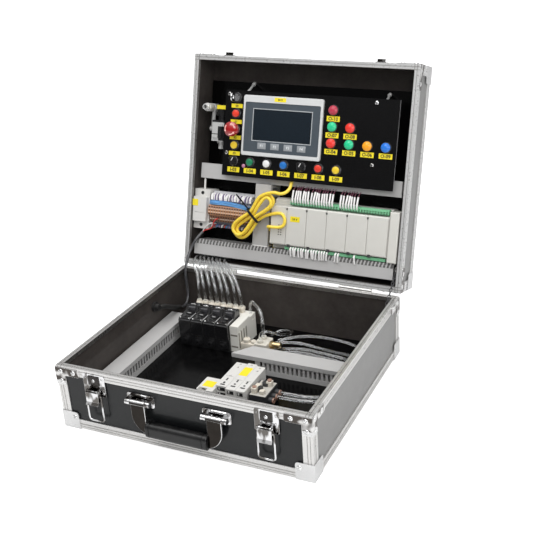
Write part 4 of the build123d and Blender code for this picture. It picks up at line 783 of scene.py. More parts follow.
# Darker plating: its dark streaks are a painted reflection; its pale edges are rubbing and a
# painted glint.
DARK_CHROME = PaintedReflectionPlating("darkened chrome plate", (0.4, 0.39, 0.38), 0.12, metallic=1.0,
                       relief=0.00002, gloss_shift=0.04, wear_and_glint=1.0, worn_and_glinting=(0.92, 0.92, 0.92),
                       dark=(0.05, 0.045, 0.04), share=0.55)
DRAWN: dict[str, object] = {
    "metallic": 0.85, "tone": 0.04, "grain": Grain.DRAWN, "grain_scale": (260.0, 260.0, 260.0),
    "relief": 0.000008, "gloss_shift": 0.05, "dust": 0.0}
# Pressed plates: their pale edges are a painted glint.
PRESSED: dict[str, object] = {
    "colour": (0.73, 0.73, 0.73), "roughness": 0.24, "metallic": 0.9, "dust": 0.0, "tone": 0.06,
    "wear_and_glint": 0.8, "worn_and_glinting": (0.95, 0.95, 0.95), "relief": 0.00002}
LAMINATE: dict[str, object] = {
    "roughness": 0.3, "coat": 0.25, "grain": Grain.WOVEN, "grain_scale": 900.0,
    "relief": 0.00003, "gloss_shift": 0.05, "tone": 0.12}
BRIGHT_ROD = Finish("bright standoff", (0.86, 0.86, 0.85), 0.22, metallic=0.45, relief=0.00001)
BLACK_GLOSS = DarkBoard("black gloss board", (0.0018, 0.0018, 0.002), 0.2, tone=0.1,
                        grain_scale=350.0, relief=0.000004, gloss_shift=0.03, dust=0.006,
                        reflection=0.13)
PANEL_GLOSS = DarkBoard("black acrylic panel", (0.003, 0.003, 0.0034), 0.14, coat=0.06,
                        relief=0.000004, gloss_shift=0.03, dust=0.008, reflection=0.32)
DUCT_SHADE = Finish("duct slot shade", (0.12, 0.118, 0.115), 0.8)
LATCH_SHADE = Finish("latch recess", (0.035, 0.031, 0.028), 0.22, metallic=0.5)
DUCT_GREY = Finish("duct grey", (0.485, 0.48, 0.475), 0.42, tone=0.05, dust=0.02)
PALE_HOUSING = Finish("controller grey", (0.63, 0.62, 0.58), 0.45, tone=0.03, dust=0.02)
WHITE = Finish("module white", (0.67, 0.66, 0.635), 0.42, tone=0.03)
BLACK = Finish("black moulding", (0.009, 0.009, 0.01), 0.3, tone=0.15, dust=0.015)
BLACK_RUBBER = Finish("black rubber", (0.014, 0.014, 0.014), 0.62, dust=0.05)
DARK_GREY = Finish("dark grey moulding", (0.045, 0.045, 0.048), 0.5)
CREAM = Finish("cream moulding", (0.70, 0.65, 0.56), 0.32, coat=0.2, tone=0.05)
GREEN = Finish("strip green", (0.17, 0.46, 0.25), 0.4, tone=0.06)
YELLOW_LABEL = Finish("yellow label", (0.88, 0.72, 0.02), 0.5, tone=0.03, dust=0.0)
# Dark print, and painted shade in holes, slots and the coupler's bore.
INK_AND_SHADE = Finish("label ink", (0.02, 0.02, 0.02), 0.55, dust=0.0)
CABLE_YELLOW = Finish("patch cable yellow", (0.95, 0.70, 0.06), 0.36, coat=0.15, tone=0.05,
                      tone_scale=120.0, relief=0.00002)
CABLE_GREY = Finish("cable charcoal", (0.055, 0.055, 0.06), 0.3, coat=0.4, tone=0.06)
CLEAR = ClearTube("clear air tube", (0.93, 0.95, 0.96), 0.04, coat=1.0, tone=0.05,
                  tone_scale=40.0, grain_scale=120.0, relief=0.0001, gloss_shift=0.02, dust=0.0)
SCREEN = Finish("screen pane", (0.005, 0.011, 0.018), 0.07, coat=0.45, relief=0.000002,
                gloss_shift=0.01, dust=0.01)
SLEEVE = Finish("white wire sleeve", (0.86, 0.85, 0.84), 0.5, tone=0.06, tone_scale=600.0)


def plastic(name: str, colour: Colour, roughness: float = 0.25) -> Finish:
    """Give a glossy coloured moulding."""
    return Finish(name, colour, roughness, coat=0.3, tone=0.04, relief=0.00001)


RED = plastic("button red", (0.74, 0.045, 0.022))
YELLOW = plastic("button yellow", (0.86, 0.60, 0.03))
BUTTON_GREEN = plastic("button green", (0.012, 0.20, 0.09))
BUTTON_BLUE = plastic("button blue", (0.012, 0.16, 0.52))
BUTTON_WHITE = plastic("button white", (0.80, 0.80, 0.79))

NODE_FINISHES: dict[str, Finish] = {
    "base_panels": LinedPanel("base laminate and lining", (0.008, 0.009, 0.010), **LAMINATE),
    "lid_panels": LinedPanel("lid laminate and lining", (0.010, 0.011, 0.0125), **LAMINATE,
                             spot=Group.LID_SPOT),
    "base_extrusions": Extrusion("base drawn aluminium", (0.73, 0.722, 0.71), 0.3, **DRAWN),
    # Same aluminium as the base, painted darker and less metallic as shade on the lid.
    "lid_extrusions": Extrusion("lid drawn aluminium", (0.66, 0.66, 0.655), 0.3,
                                **{**DRAWN, "metallic": 0.4}, spot=Group.LID_SPOT,
                                height=LID_HEIGHT),
    "base_corner_fittings": CornerPlates("base corner plates", **PRESSED),
    "lid_corner_fittings": CornerPlates("lid corner plates", **PRESSED, spot=Group.LID_SPOT,
                                        level=48.0),
    "base_hinge_hardware": STEEL, "lid_hinge_hardware": STEEL, "latch_keepers": DARK_CHROME,
    **dict.fromkeys(("latch_plates", "left_latch_lever", "right_latch_lever", "left_latch_bail",
                     "right_latch_bail", "handle_brackets", "switch_key"), CHROME),
    "carry_handle": HandleStrap("handle grip and strap", (0.03, 0.026, 0.023), 0.1, metallic=1.0,
                                tone=0.4, tone_scale=60.0, spot=Group.BASE_SPOT,
                                second=(0.003, 0.003, 0.0035), second_roughness=0.36,
                                boxes=(((-51.05, -30.0, 22.0), (51.05, 20.0, 46.6)),)),
    "base_mounting_plate": BLACK_GLOSS, "lid_mounting_plate": BLACK_GLOSS,
    "base_ducts": DUCT_GREY,
    # The pale band on the lower duct's upper wall is painted light, so that its fingers read as
    # lit.
    "lid_ducts": TwoTone("lid duct grey", (0.485, 0.48, 0.475), 0.42, tone=0.05, dust=0.02,
                         second=(0.86, 0.86, 0.85), boxes=(((-195.0, 46.8, 16.0),
                                                            (195.0, 48.7, 63.6)),)),
    "rails_and_standoffs": BRIGHT_ROD,
    "terminal_blocks": TerminalRows(
        "terminal rows", (0.5, 0.3, 0.2), 0.48, dust=0.05, tone=0.1, tone_scale=200.0,
        bands=((0.0, (0.17, 0.17, 0.20)), (81.0, (0.40, 0.19, 0.10)), (93.0, (0.52, 0.25, 0.12)),
               (105.0, (0.44, 0.23, 0.14)), (113.5, (0.30, 0.33, 0.40)),
               (124.5, (0.56, 0.56, 0.58)))),
    **dict.fromkeys(("relay_module", "coupler_sleeve", "sensor_modules"), WHITE),
    **dict.fromkeys(("left_selector", "right_selector", "emergency_stop_stem", "regulator_knob",
                     "lid_tube_fittings", "patch_cable_tie_and_plug"), BLACK),
    "plc_housing": PALE_HOUSING,
    "plc_terminal_strips": GREEN,
    "control_panel": PANEL_GLOSS,
    "touch_screen_housing": ScreenHousing("touch screen housing", (0.63, 0.64, 0.64), 0.35),
    "touch_screen_glass": SCREEN,
    "switch_collars": Finish("dark switch collar", (0.03, 0.03, 0.032), 0.18, coat=0.4),
    "red_button": RED, "second_red_button": RED,
    "yellow_button": YELLOW, "second_yellow_button": YELLOW,
    "green_button": BUTTON_GREEN, "white_button": BUTTON_WHITE, "blue_button": BUTTON_BLUE,
    "emergency_stop_head": Finish("stop red", (0.36, 0.006, 0.008), 0.1, coat=0.7, tone=0.05,
                                  relief=0.00001, gloss_shift=0.02, dust=0.0),
    "air_regulator": TwoTone("regulator body and bowl", (0.80, 0.80, 0.79), 0.2, metallic=0.45,
                             second=(0.012, 0.012, 0.013), second_roughness=0.3,
                             boxes=(((-164.5, 229.0, 10.0), (-150.0, 255.0, 60.0)),
                                    ((-180.0, 262.0, 10.0), (-150.0, 275.0, 60.0)),
                                    ((-180.0, 240.0, 30.0), (-150.0, 241.5, 60.0)))),
    "valve_manifold": Finish("manifold black", (0.011, 0.011, 0.012), 0.26, coat=0.3, dust=0.015),
    "port_block": Finish("port block beige", (0.80, 0.785, 0.73), 0.42, tone=0.05),
    # Black valves: their grey edges are rubbing and a painted glint.
    "solenoid_valves": Finish("valve black", (0.009, 0.009, 0.01), 0.2, coat=0.4, dust=0.015,
                              wear_and_glint=0.3, worn_and_glinting=(0.3, 0.3, 0.3)),
    "push_in_fittings": CREAM,
    "exhaust_silencer": TwoTone("brass silencer and tee", (0.66, 0.63, 0.56), 0.35,
                                spot=Group.BASE_SPOT, second=(0.80, 0.64, 0.38),
                                second_roughness=0.3, second_metallic=1.0,
                                boxes=(((13.2, 268.0, 25.0), (40.0, 288.0, 45.0)),)),
    "module_bases": TwoTone("module base and ejector", (0.03, 0.03, 0.032), 0.45,
                            spot=Group.BASE_SPOT, second=(0.50, 0.48, 0.44),
                            second_roughness=0.35,
                            boxes=(((56.0, 112.5, 30.0), (82.5, 155.5, 43.2)),)),
    "cable_gland": BLACK_RUBBER,
}


# Mesh making ----------------------------------------------------------------------------

def linked(name: str, data: bpy.types.ID) -> bpy.types.Object:
    """Make an object in the scene.

    Args:
        name: Name of the object.
        data: Mesh, curve, lamp or camera that it shows.

    Returns:
        The object.
    """
    made = bpy.data.objects.new(name, data)
    bpy.context.scene.collection.objects.link(made)
    return made


def plain_mesh(source: bpy.types.Object) -> bpy.types.Mesh:
    """Turn an object, with its modifiers, into a plain mesh and remove the object.

    Args:
        source: The object.

    Returns:
        The mesh.
    """
    bpy.context.view_layer.update()
    mesh = bpy.data.meshes.new_from_object(
        source.evaluated_get(bpy.context.evaluated_depsgraph_get()))
    bpy.data.objects.remove(source)
    return mesh


class Shape:
    """A mesh in the making, in the millimetres of one half of the case."""

    def __init__(self, place: Place) -> None:
        """Start an empty mesh in a place."""
        self.place = place
        self.mesh = bmesh.new()

    def box(self, low: Spot, high: Spot, bevel: float = 0.0, segments: int = 2) -> "Shape":
        """Add a box, with its edges rounded if asked.

        Args:
            low: Lowest corner.
            high: Highest corner.
            bevel: Width of the rounding.
            segments: Faces across the rounding.

        Returns:
            The shape itself.
        """
        size = [b - a for a, b in zip(low, high)]
        centre = Vector([(a + b) / 2 for a, b in zip(low, high)])
        made = bmesh.ops.create_cube(self.mesh, size=1.0)["verts"]
        for vertex in made:
            vertex.co = Vector([c * s for c, s in zip(vertex.co, size)]) + centre
        if bevel:
            edges = list({edge for vertex in made for edge in vertex.link_edges})
            bmesh.ops.bevel(self.mesh, geom=edges, offset=bevel, segments=segments,
                            profile=0.5, affect="EDGES")
        return self

    def pad(self, middle: Pair, size: Pair, low: float, high: float, bevel: float = 0.0,
            segments: int = 2) -> "Shape":
        """Add a box over a rectangle.

        Args:
            middle: The rectangle's middle.
            size: Its size.
            low: Height of the box's floor.
            high: Height of its roof.
            bevel: Width of the rounding.
            segments: Faces across the rounding.

        Returns:
            The shape itself.
        """
        (x, y), (wide, deep) = middle, size
        return self.box((x - wide / 2, y - deep / 2, low), (x + wide / 2, y + deep / 2, high),
                        bevel, segments)

    def lathe(self, centre: Spot, profile: Sequence[Pair],
              axis: Spot = (0.0, 0.0, 1.0), sides: int = 32) -> "Shape":
        """Add a turned piece.

        Args:
            centre: Point on the axis that the profile's heights start from.
            profile: Radius and height of each ring, from one pole to the other.
            axis: Direction of the axis.
            sides: Faces round the axis.

        Returns:
            The shape itself.
        """
        turn = Vector((0.0, 0.0, 1.0)).rotation_difference(Vector(axis)).to_matrix()
        start = Vector(centre)
        rings: list[list[bmesh.types.BMVert]] = []
        for radius, height in profile:
            count = sides if radius else 1
            rings.append([self.mesh.verts.new(start + turn @ Vector((
                radius * math.cos(2 * math.pi * k / sides),
                radius * math.sin(2 * math.pi * k / sides), height))) for k in range(count)])
        for first, second in zip(rings, rings[1:]):
            for k in range(sides):
                corners = [first[k % len(first)], first[(k + 1) % len(first)],
                           second[(k + 1) % len(second)], second[k % len(second)]]
                unique = list(dict.fromkeys(corners))
                if len(unique) > 2:
                    self.mesh.faces.new(unique)
        return self

    def prism(self, outline: Sequence[Pair], low: float, high: float) -> "Shape":
        """Add a straight piece over an outline in the place's own plane.

        Args:
            outline: Corners of the outline, in order.
            low: Height of the floor.
            high: Height of the roof.

        Returns:
            The shape itself.
        """
        floor = [self.mesh.verts.new((x, y, low)) for x, y in outline]
        roof = [self.mesh.verts.new((x, y, high)) for x, y in outline]
        self.mesh.faces.new(list(reversed(floor)))
        self.mesh.faces.new(roof)
        for k, corner in enumerate(floor):
            after = (k + 1) % len(floor)
            self.mesh.faces.new([corner, floor[after], roof[after], roof[k]])
        return self

    def text(self, words: str, centre: Spot, size: float, thick: float = 0.12) -> "Shape":
        """Add raised lettering that is read along the place's x.

        Args:
            words: What it says.
            centre: Its middle.
            size: Height of the letters.
            thick: How far they stand up and down.

        Returns:
            The shape itself.
        """
        curve = bpy.data.curves.new("lettering", "FONT")
        curve.body, curve.size, curve.extrude = words, size, thick
        curve.offset = size * LETTER_WEIGHT
        curve.align_x, curve.align_y, curve.resolution_u = "CENTER", "CENTER", 2
        flat = plain_mesh(linked("lettering", curve))
        flat.transform(Matrix.Translation(Vector(centre)))
        self.mesh.from_mesh(flat)
        bpy.data.meshes.remove(flat)
        return self

    def data(self, name: str, matrix: Matrix) -> bpy.types.Mesh:
        """Weld the mesh, turn its faces outwards and give it as mesh data.

        Args:
            name: Name of the mesh data.
            matrix: Transform of its points.

        Returns:
            The mesh data.
        """
        bmesh.ops.remove_doubles(self.mesh, verts=self.mesh.verts, dist=WELD)
        bmesh.ops.recalc_face_normals(self.mesh, faces=self.mesh.faces)
        data = bpy.data.meshes.new(name)
        self.mesh.to_mesh(data)
        self.mesh.free()
        data.transform(matrix)
        return data

    def piece(self, name: str, finish: Finish, slot: str, smooth: float = SMOOTH_ANGLE,
              stands_for: Sequence[str] = (), body: str = "") -> bpy.types.Object:
        """Finish the mesh as a piece.

        Args:
            name: Name of the piece.
            finish: Its material.
            slot: Material slot of the record.
            smooth: Angle, in degrees, under which edges are shaded smooth.
            stands_for: Nodes that it stands for.
            body: Body that it rides on, if not its half of the case.

        Returns:
            The object.
        """
        made = settle(self.data(name, self.place.matrix()), name, finish,
                      body or self.place.body, slot, smooth)
        if stands_for:
            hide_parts(*stands_for)
        return made


def settle(data: bpy.types.Mesh, name: str, finish: Finish, body: str, slot: str,
           smooth: float = SMOOTH_ANGLE) -> bpy.types.Object:
    """Give a finished mesh its object, material and body.

    Args:
        data: The mesh, in world metres.
        name: Name of the piece.
        finish: Its material.
        body: Body that it rides on.
        slot: Material slot of the record. Not used.
        smooth: Angle, in degrees, under which edges are shaded smooth.

    Returns:
        The object.
    """
    data.materials.clear()
    data.materials.append(finish.build())
    data.shade_smooth()
    data.set_sharp_from_angle(angle=math.radians(smooth))
    piece = linked(name, data)
    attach(piece, body)
    LOG.info("piece %s on %s, %d faces", name, body, len(data.polygons))
    return piece


# Geometry Nodes -------------------------------------------------------------------------

@dataclass(frozen=True)
class Site:
    """A spot for a small repeated piece, the way it faces and its turn about that way."""

    spot: Vector
    facing: Vector
    turn: float = 0.0


class NodesTool:
    """A Geometry Nodes tree that is applied to a mesh and leaves a plain mesh."""

    def __init__(self, name: str, sockets: dict[str, tuple[str, object]]) -> None:
        """Start the tree with its named inputs.

        Args:
            name: Name of the tree.
            sockets: Kind and default of each input after the geometry.
        """
        self.tree = bpy.data.node_groups.new(name, "GeometryNodeTree")
        add_socket(self.tree, "Geometry", "INPUT", "Geometry")
        self.ids = {label: add_socket(self.tree, label, "INPUT", kind, value).identifier
                    for label, (kind, value) in sockets.items()}
        add_socket(self.tree, "Geometry", "OUTPUT", "Geometry")
        self.kit = NodeKit(self.tree)
        self.taken = self.kit.add("NodeGroupInput").outputs
        self.given = self.kit.add("NodeGroupOutput").inputs

    def apply(self, seed: bpy.types.Mesh, name: str, body: str, finish: Finish,
              slot: str, values: dict[str, object],
              smooth: float = SMOOTH_ANGLE) -> bpy.types.Object:
        """Run the tree on a seed mesh and settle the result.

        Args:
            seed: Mesh of points or lines, in world metres.
            name: Name of the piece.
            body: Body that it rides on.
            finish: Its material.
            slot: Material slot of the record.
            values: Value of each named input.
            smooth: Angle, in degrees, under which edges are shaded smooth.

        Returns:
            The object.
        """
        carrier = linked(f"{name}_seed", seed)
        modifier = carrier.modifiers.new("nodes", "NODES")
        modifier.node_group = self.tree
        for label, value in {**values, "Finish": finish.build()}.items():
            modifier[self.ids[label]] = value
        made = plain_mesh(carrier)
        made.name = name
        return settle(made, name, finish, body, slot, smooth)

    def end(self, geometry: object) -> None:
        """Realise the geometry, give it the finish and put it out.

        Args:
            geometry: Socket of the geometry.
        """
        real = self.kit.add("GeometryNodeRealizeInstances", {"Geometry": geometry})
        dressed = self.kit.add("GeometryNodeSetMaterial", {
            "Geometry": real.outputs[0], "Material": self.taken["Finish"]})
        self.tree.links.new(dressed.outputs[0], self.given[0])


class Scatter(NodesTool):
    """Sets one small piece at every site."""

    seed = 7

    def __init__(self) -> None:
        """Build the tree: instances that face each site's way, realised."""
        super().__init__("set pieces at sites", {
            "Piece": ("Object", None), "Finish": ("Material", None),
            "Loose Turn": ("Float", 0.0)})
        kit = self.kit
        facing, turn = (kit.add("GeometryNodeInputNamedAttribute", {"Name": name},
                                data_type=kind).outputs["Attribute"]
                        for name, kind in (("facing", "FLOAT_VECTOR"), ("turn", "FLOAT")))
        aimed = kit.add("FunctionNodeAlignRotationToVector", {"Vector": facing}, axis="Z")
        random_turn = kit.add("FunctionNodeRandomValue", {
            3: self.taken["Loose Turn"], "Seed": self.seed}, data_type="FLOAT")
        angle = kit.sum("ADD", turn, random_turn.outputs[1])
        spin = kit.add("FunctionNodeAxisAngleToRotation", {"Axis": (0.0, 0.0, 1.0),
                                                           "Angle": angle})
        whole = kit.add("FunctionNodeRotateRotation", {
            "Rotation": aimed.outputs[0], "Rotate By": spin.outputs[0]}, rotation_space="LOCAL")
        info = kit.add("GeometryNodeObjectInfo", {"Object": self.taken["Piece"],
                                                  "As Instance": False})
        put = kit.add("GeometryNodeInstanceOnPoints", {
            "Points": self.taken["Geometry"], "Instance": info.outputs["Geometry"],
            "Rotation": whole.outputs[0]})
        self.end(put.outputs[0])

    def place(self, name: str, sites: Sequence[Site], template: bpy.types.Object, body: str,
              finish: Finish, slot: str, loose: bool = True) -> bpy.types.Object:
        """Put the template at every site as one piece.

        Args:
            name: Name of the piece.
            sites: Where the template is put.
            template: The small piece.
            body: Body that the piece rides on.
            finish: Its material.
            slot: Material slot of the record.
            loose: Whether each one is also turned by chance.

        Returns:
            The object.
        """
        seed = bpy.data.meshes.new(f"{name}_sites")
        seed.from_pydata([tuple(site.spot) for site in sites], [], [])
        facing = seed.attributes.new("facing", "FLOAT_VECTOR", "POINT")
        facing.data.foreach_set("vector", [c for site in sites for c in site.facing])
        turn = seed.attributes.new("turn", "FLOAT", "POINT")
        turn.data.foreach_set("value", [site.turn for site in sites])
        return self.apply(seed, name, body, finish, slot, {
            "Piece": template, "Loose Turn": math.tau if loose else 0.0})


class Wires(NodesTool):
    """Sweeps a round section along short lines, rounded at their corners."""

    sides = 7
    steps = 5

    def __init__(self) -> None:
        """Build the tree: lines to smooth curves to round wires."""
        super().__init__("round wires on lines", {
            "Radius": ("Float", 0.0007), "Finish": ("Material", None)})
        kit = self.kit
        line = kit.add("GeometryNodeMeshToCurve", {"Mesh": self.taken["Geometry"]})
        kind = kit.add("GeometryNodeCurveSplineType", {"Curve": line.outputs[0]},
                       spline_type="CATMULL_ROM")
        fine = kit.add("GeometryNodeSetSplineResolution", {"Geometry": kind.outputs[0],
                                                           "Resolution": self.steps})
        ring = kit.add("GeometryNodeCurvePrimitiveCircle", {"Resolution": self.sides,
                                                            "Radius": self.taken["Radius"]})
        swept = kit.add("GeometryNodeCurveToMesh", {
            "Curve": fine.outputs[0], "Profile Curve": ring.outputs[0], "Fill Caps": True})
        self.end(swept.outputs[0])

    def run(self, name: str, lines: Sequence[Sequence[Vector]], radius: float, body: str,
            finish: Finish, slot: str) -> bpy.types.Object:
        """Make wires of one radius, in millimetres, along lines in world metres.

        Args:
            name: Name of the piece.
            lines: Points of each wire.
            radius: Radius of the wires.
            body: Body that the piece rides on.
            finish: Its material.
            slot: Material slot of the record.

        Returns:
            The object.
        """
        points, edges = [], []
        for line in lines:
            start = len(points)
            points += [tuple(point) for point in line]
            edges += [(k, k + 1) for k in range(start, len(points) - 1)]
        seed = bpy.data.meshes.new(f"{name}_lines")
        seed.from_pydata(points, edges, [])
        return self.apply(seed, name, body, finish, slot, {"Radius": radius * MM},
                          WIRE_SMOOTH_ANGLE)


class Hardware:
    """The small repeated pieces, each kept as a template until the scene is built."""

    def __init__(self) -> None:
        """Build the two trees and start with no templates."""
        self.scatter = Scatter()
        self.wires = Wires()
        self.templates: dict[str, bpy.types.Object] = {}

    def template(self, name: str, build: Shape) -> bpy.types.Object:
        """Keep a shape, drawn in millimetres at the origin, as a template.

        Args:
            name: Name of the template.
            build: The shape.

        Returns:
            The object.
        """
        self.templates[name] = linked(name, build.data(name, Matrix.Scale(MM, 4)))
        return self.templates[name]

    def cross_screw(self, radius: float, height: float) -> bpy.types.Object:
        """Give a domed screw head with a cross recess.

        Args:
            radius: Radius of the head.
            height: Its height, or 0 for one in proportion to the radius.

        Returns:
            The template.
        """
        rise = height or radius * 0.42
        name = f"cross_screw_{radius:g}_{rise:g}"
        if name in self.templates:
            return self.templates[name]
        sunk = 0.2
        shape = Shape(BASE).lathe((0, 0, -sunk), [
            (0, 0), (radius, 0), (radius, sunk + rise * 0.3), (radius * 0.86, sunk + rise * 0.72),
            (radius * 0.58, sunk + rise), (radius * 0.5, rise * 0.45), (0, rise * 0.4)], sides=16)
        arm = radius * 0.15
        for long, wide in ((radius * 0.56, arm), (arm, radius * 0.56)):
            shape.box((-long, -wide, rise * 0.2), (long, wide, 0.05 + rise * 0.72))
        return self.template(name, shape)

    def screws(self, name: str, sites: Sequence[Site], radius: float, body: str, finish: Finish,
               slot: str, height: float = 0.0) -> None:
        """Set a cross screw at every site, each turned by chance.

        Args:
            name: Name of the piece.
            sites: Where the screws stand.
            radius: Radius of the heads.
            body: Body that the piece rides on.
            finish: Its material.
            slot: Material slot of the record.
            height: Height of the heads, if not in proportion to the radius.
        """
        self.scatter.place(name, sites, self.cross_screw(radius, height), body, finish, slot)

    def clear(self) -> None:
        """Remove the templates."""
        for template in self.templates.values():
            bpy.data.objects.remove(template)
        self.templates.clear()


# Cords ----------------------------------------------------------------------------------

@dataclass
class Cord:
    """A tube or cable that follows a route's points on one smooth spline.

    Attributes:
        name: Name of the piece.
        route: Control points, in world metres.
        diameter: Diameter in millimetres.
        finish: Its material.
        far_end: What its far end is. Not used.
        stiffness: limp, medium or stiff. Not used.
        lay: loose, hanging, coiled or taut. Not used.
    """

    name: str
    route: list[Vector]
    diameter: float
    finish: Finish
    far_end: str = "object"
    stiffness: str = "medium"
    lay: str = "loose"

    def spline(self, bevel: bool) -> bpy.types.Object:
        """Make the curve object of the route, with or without its round section.

        Args:
            bevel: Whether it has the section.

        Returns:
            The object.
        """
        curve = bpy.data.curves.new(self.name, "CURVE")
        curve.dimensions = "3D"
        curve.resolution_u = 10
        if bevel:
            curve.bevel_depth = self.diameter * MM / 2
            curve.bevel_resolution = 5
            curve.use_fill_caps = True
        spline = curve.splines.new("NURBS")
        spline.points.add(len(self.route) - 1)
        for point, spot in zip(spline.points, self.route):
            point.co = (*spot, 1.0)
        spline.order_u = 3
        spline.use_endpoint_u = True
        curve.materials.append(self.finish.build())
        return linked(self.name, curve)

    def path(self) -> list[Vector]:
        """Give the points that Blender reads from the bare spline.

        Returns:
            The points, in world metres.
        """
        mesh = plain_mesh(self.spline(bevel=False))
        points = [vertex.co.copy() for vertex in mesh.vertices]
        bpy.data.meshes.remove(mesh)
        return points

    def length(self) -> float:
        """Give the real length, in metres, along the bare spline."""
        points = self.path()
        return sum((b - a).length for a, b in zip(points, points[1:]))

    def declare(self, piece: bpy.types.Object, slot: str, stands_for: Sequence[str],
                **more: object) -> bpy.types.Object:
        """Hide the nodes that the cord stands for and log its length.

        Args:
            piece: The cord's object.
            slot: Material slot of the record. Not used.
            stands_for: Nodes that it stands for.
            **more: What only some cords say, such as their path or other pieces. Not used.

        Returns:
            The object.
        """
        if stands_for:
            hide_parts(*stands_for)
        length = self.length()
        tuple(self.route[0])
        LOG.info("cord %s, %.3f m", self.name, length)
        return piece

    def lay_curve(self, body: str, slot: str, stands_for: Sequence[str] = (),
                  with_pieces: Sequence[object] = ()) -> bpy.types.Object:
        """Lay the cord as a curve that rides on one body.

        Args:
            body: Body that it rides on.
            slot: Material slot of the record.
            stands_for: Nodes that it stands for.
            with_pieces: Other pieces that belong to the cord.

        Returns:
            The object.
        """
        piece = self.spline(bevel=True)
        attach(piece, body)
        return self.declare(piece, slot, stands_for, with_pieces=with_pieces)

    def lay_across_hinge(self, slot: str, start: Vector, end: Vector,
                         stands_for: Sequence[str] = ()) -> bpy.types.Object:
        """Lay the cord as one fixed mesh in world space from the base to the lid.

        Args:
            slot: Material slot of the record.
            start: Where it leaves the base. Not used.
            end: Where it has reached the lid. Not used.
            stands_for: Nodes that it stands for.

        Returns:
            The object.
        """
        path = [tuple(point) for point in self.path()]
        mesh = plain_mesh(self.spline(bevel=True))
        mesh.shade_smooth()
        piece = linked(self.name, mesh)
        tuple(start)
        tuple(end)
        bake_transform(piece)
        return self.declare(piece, slot, stands_for, path=path)


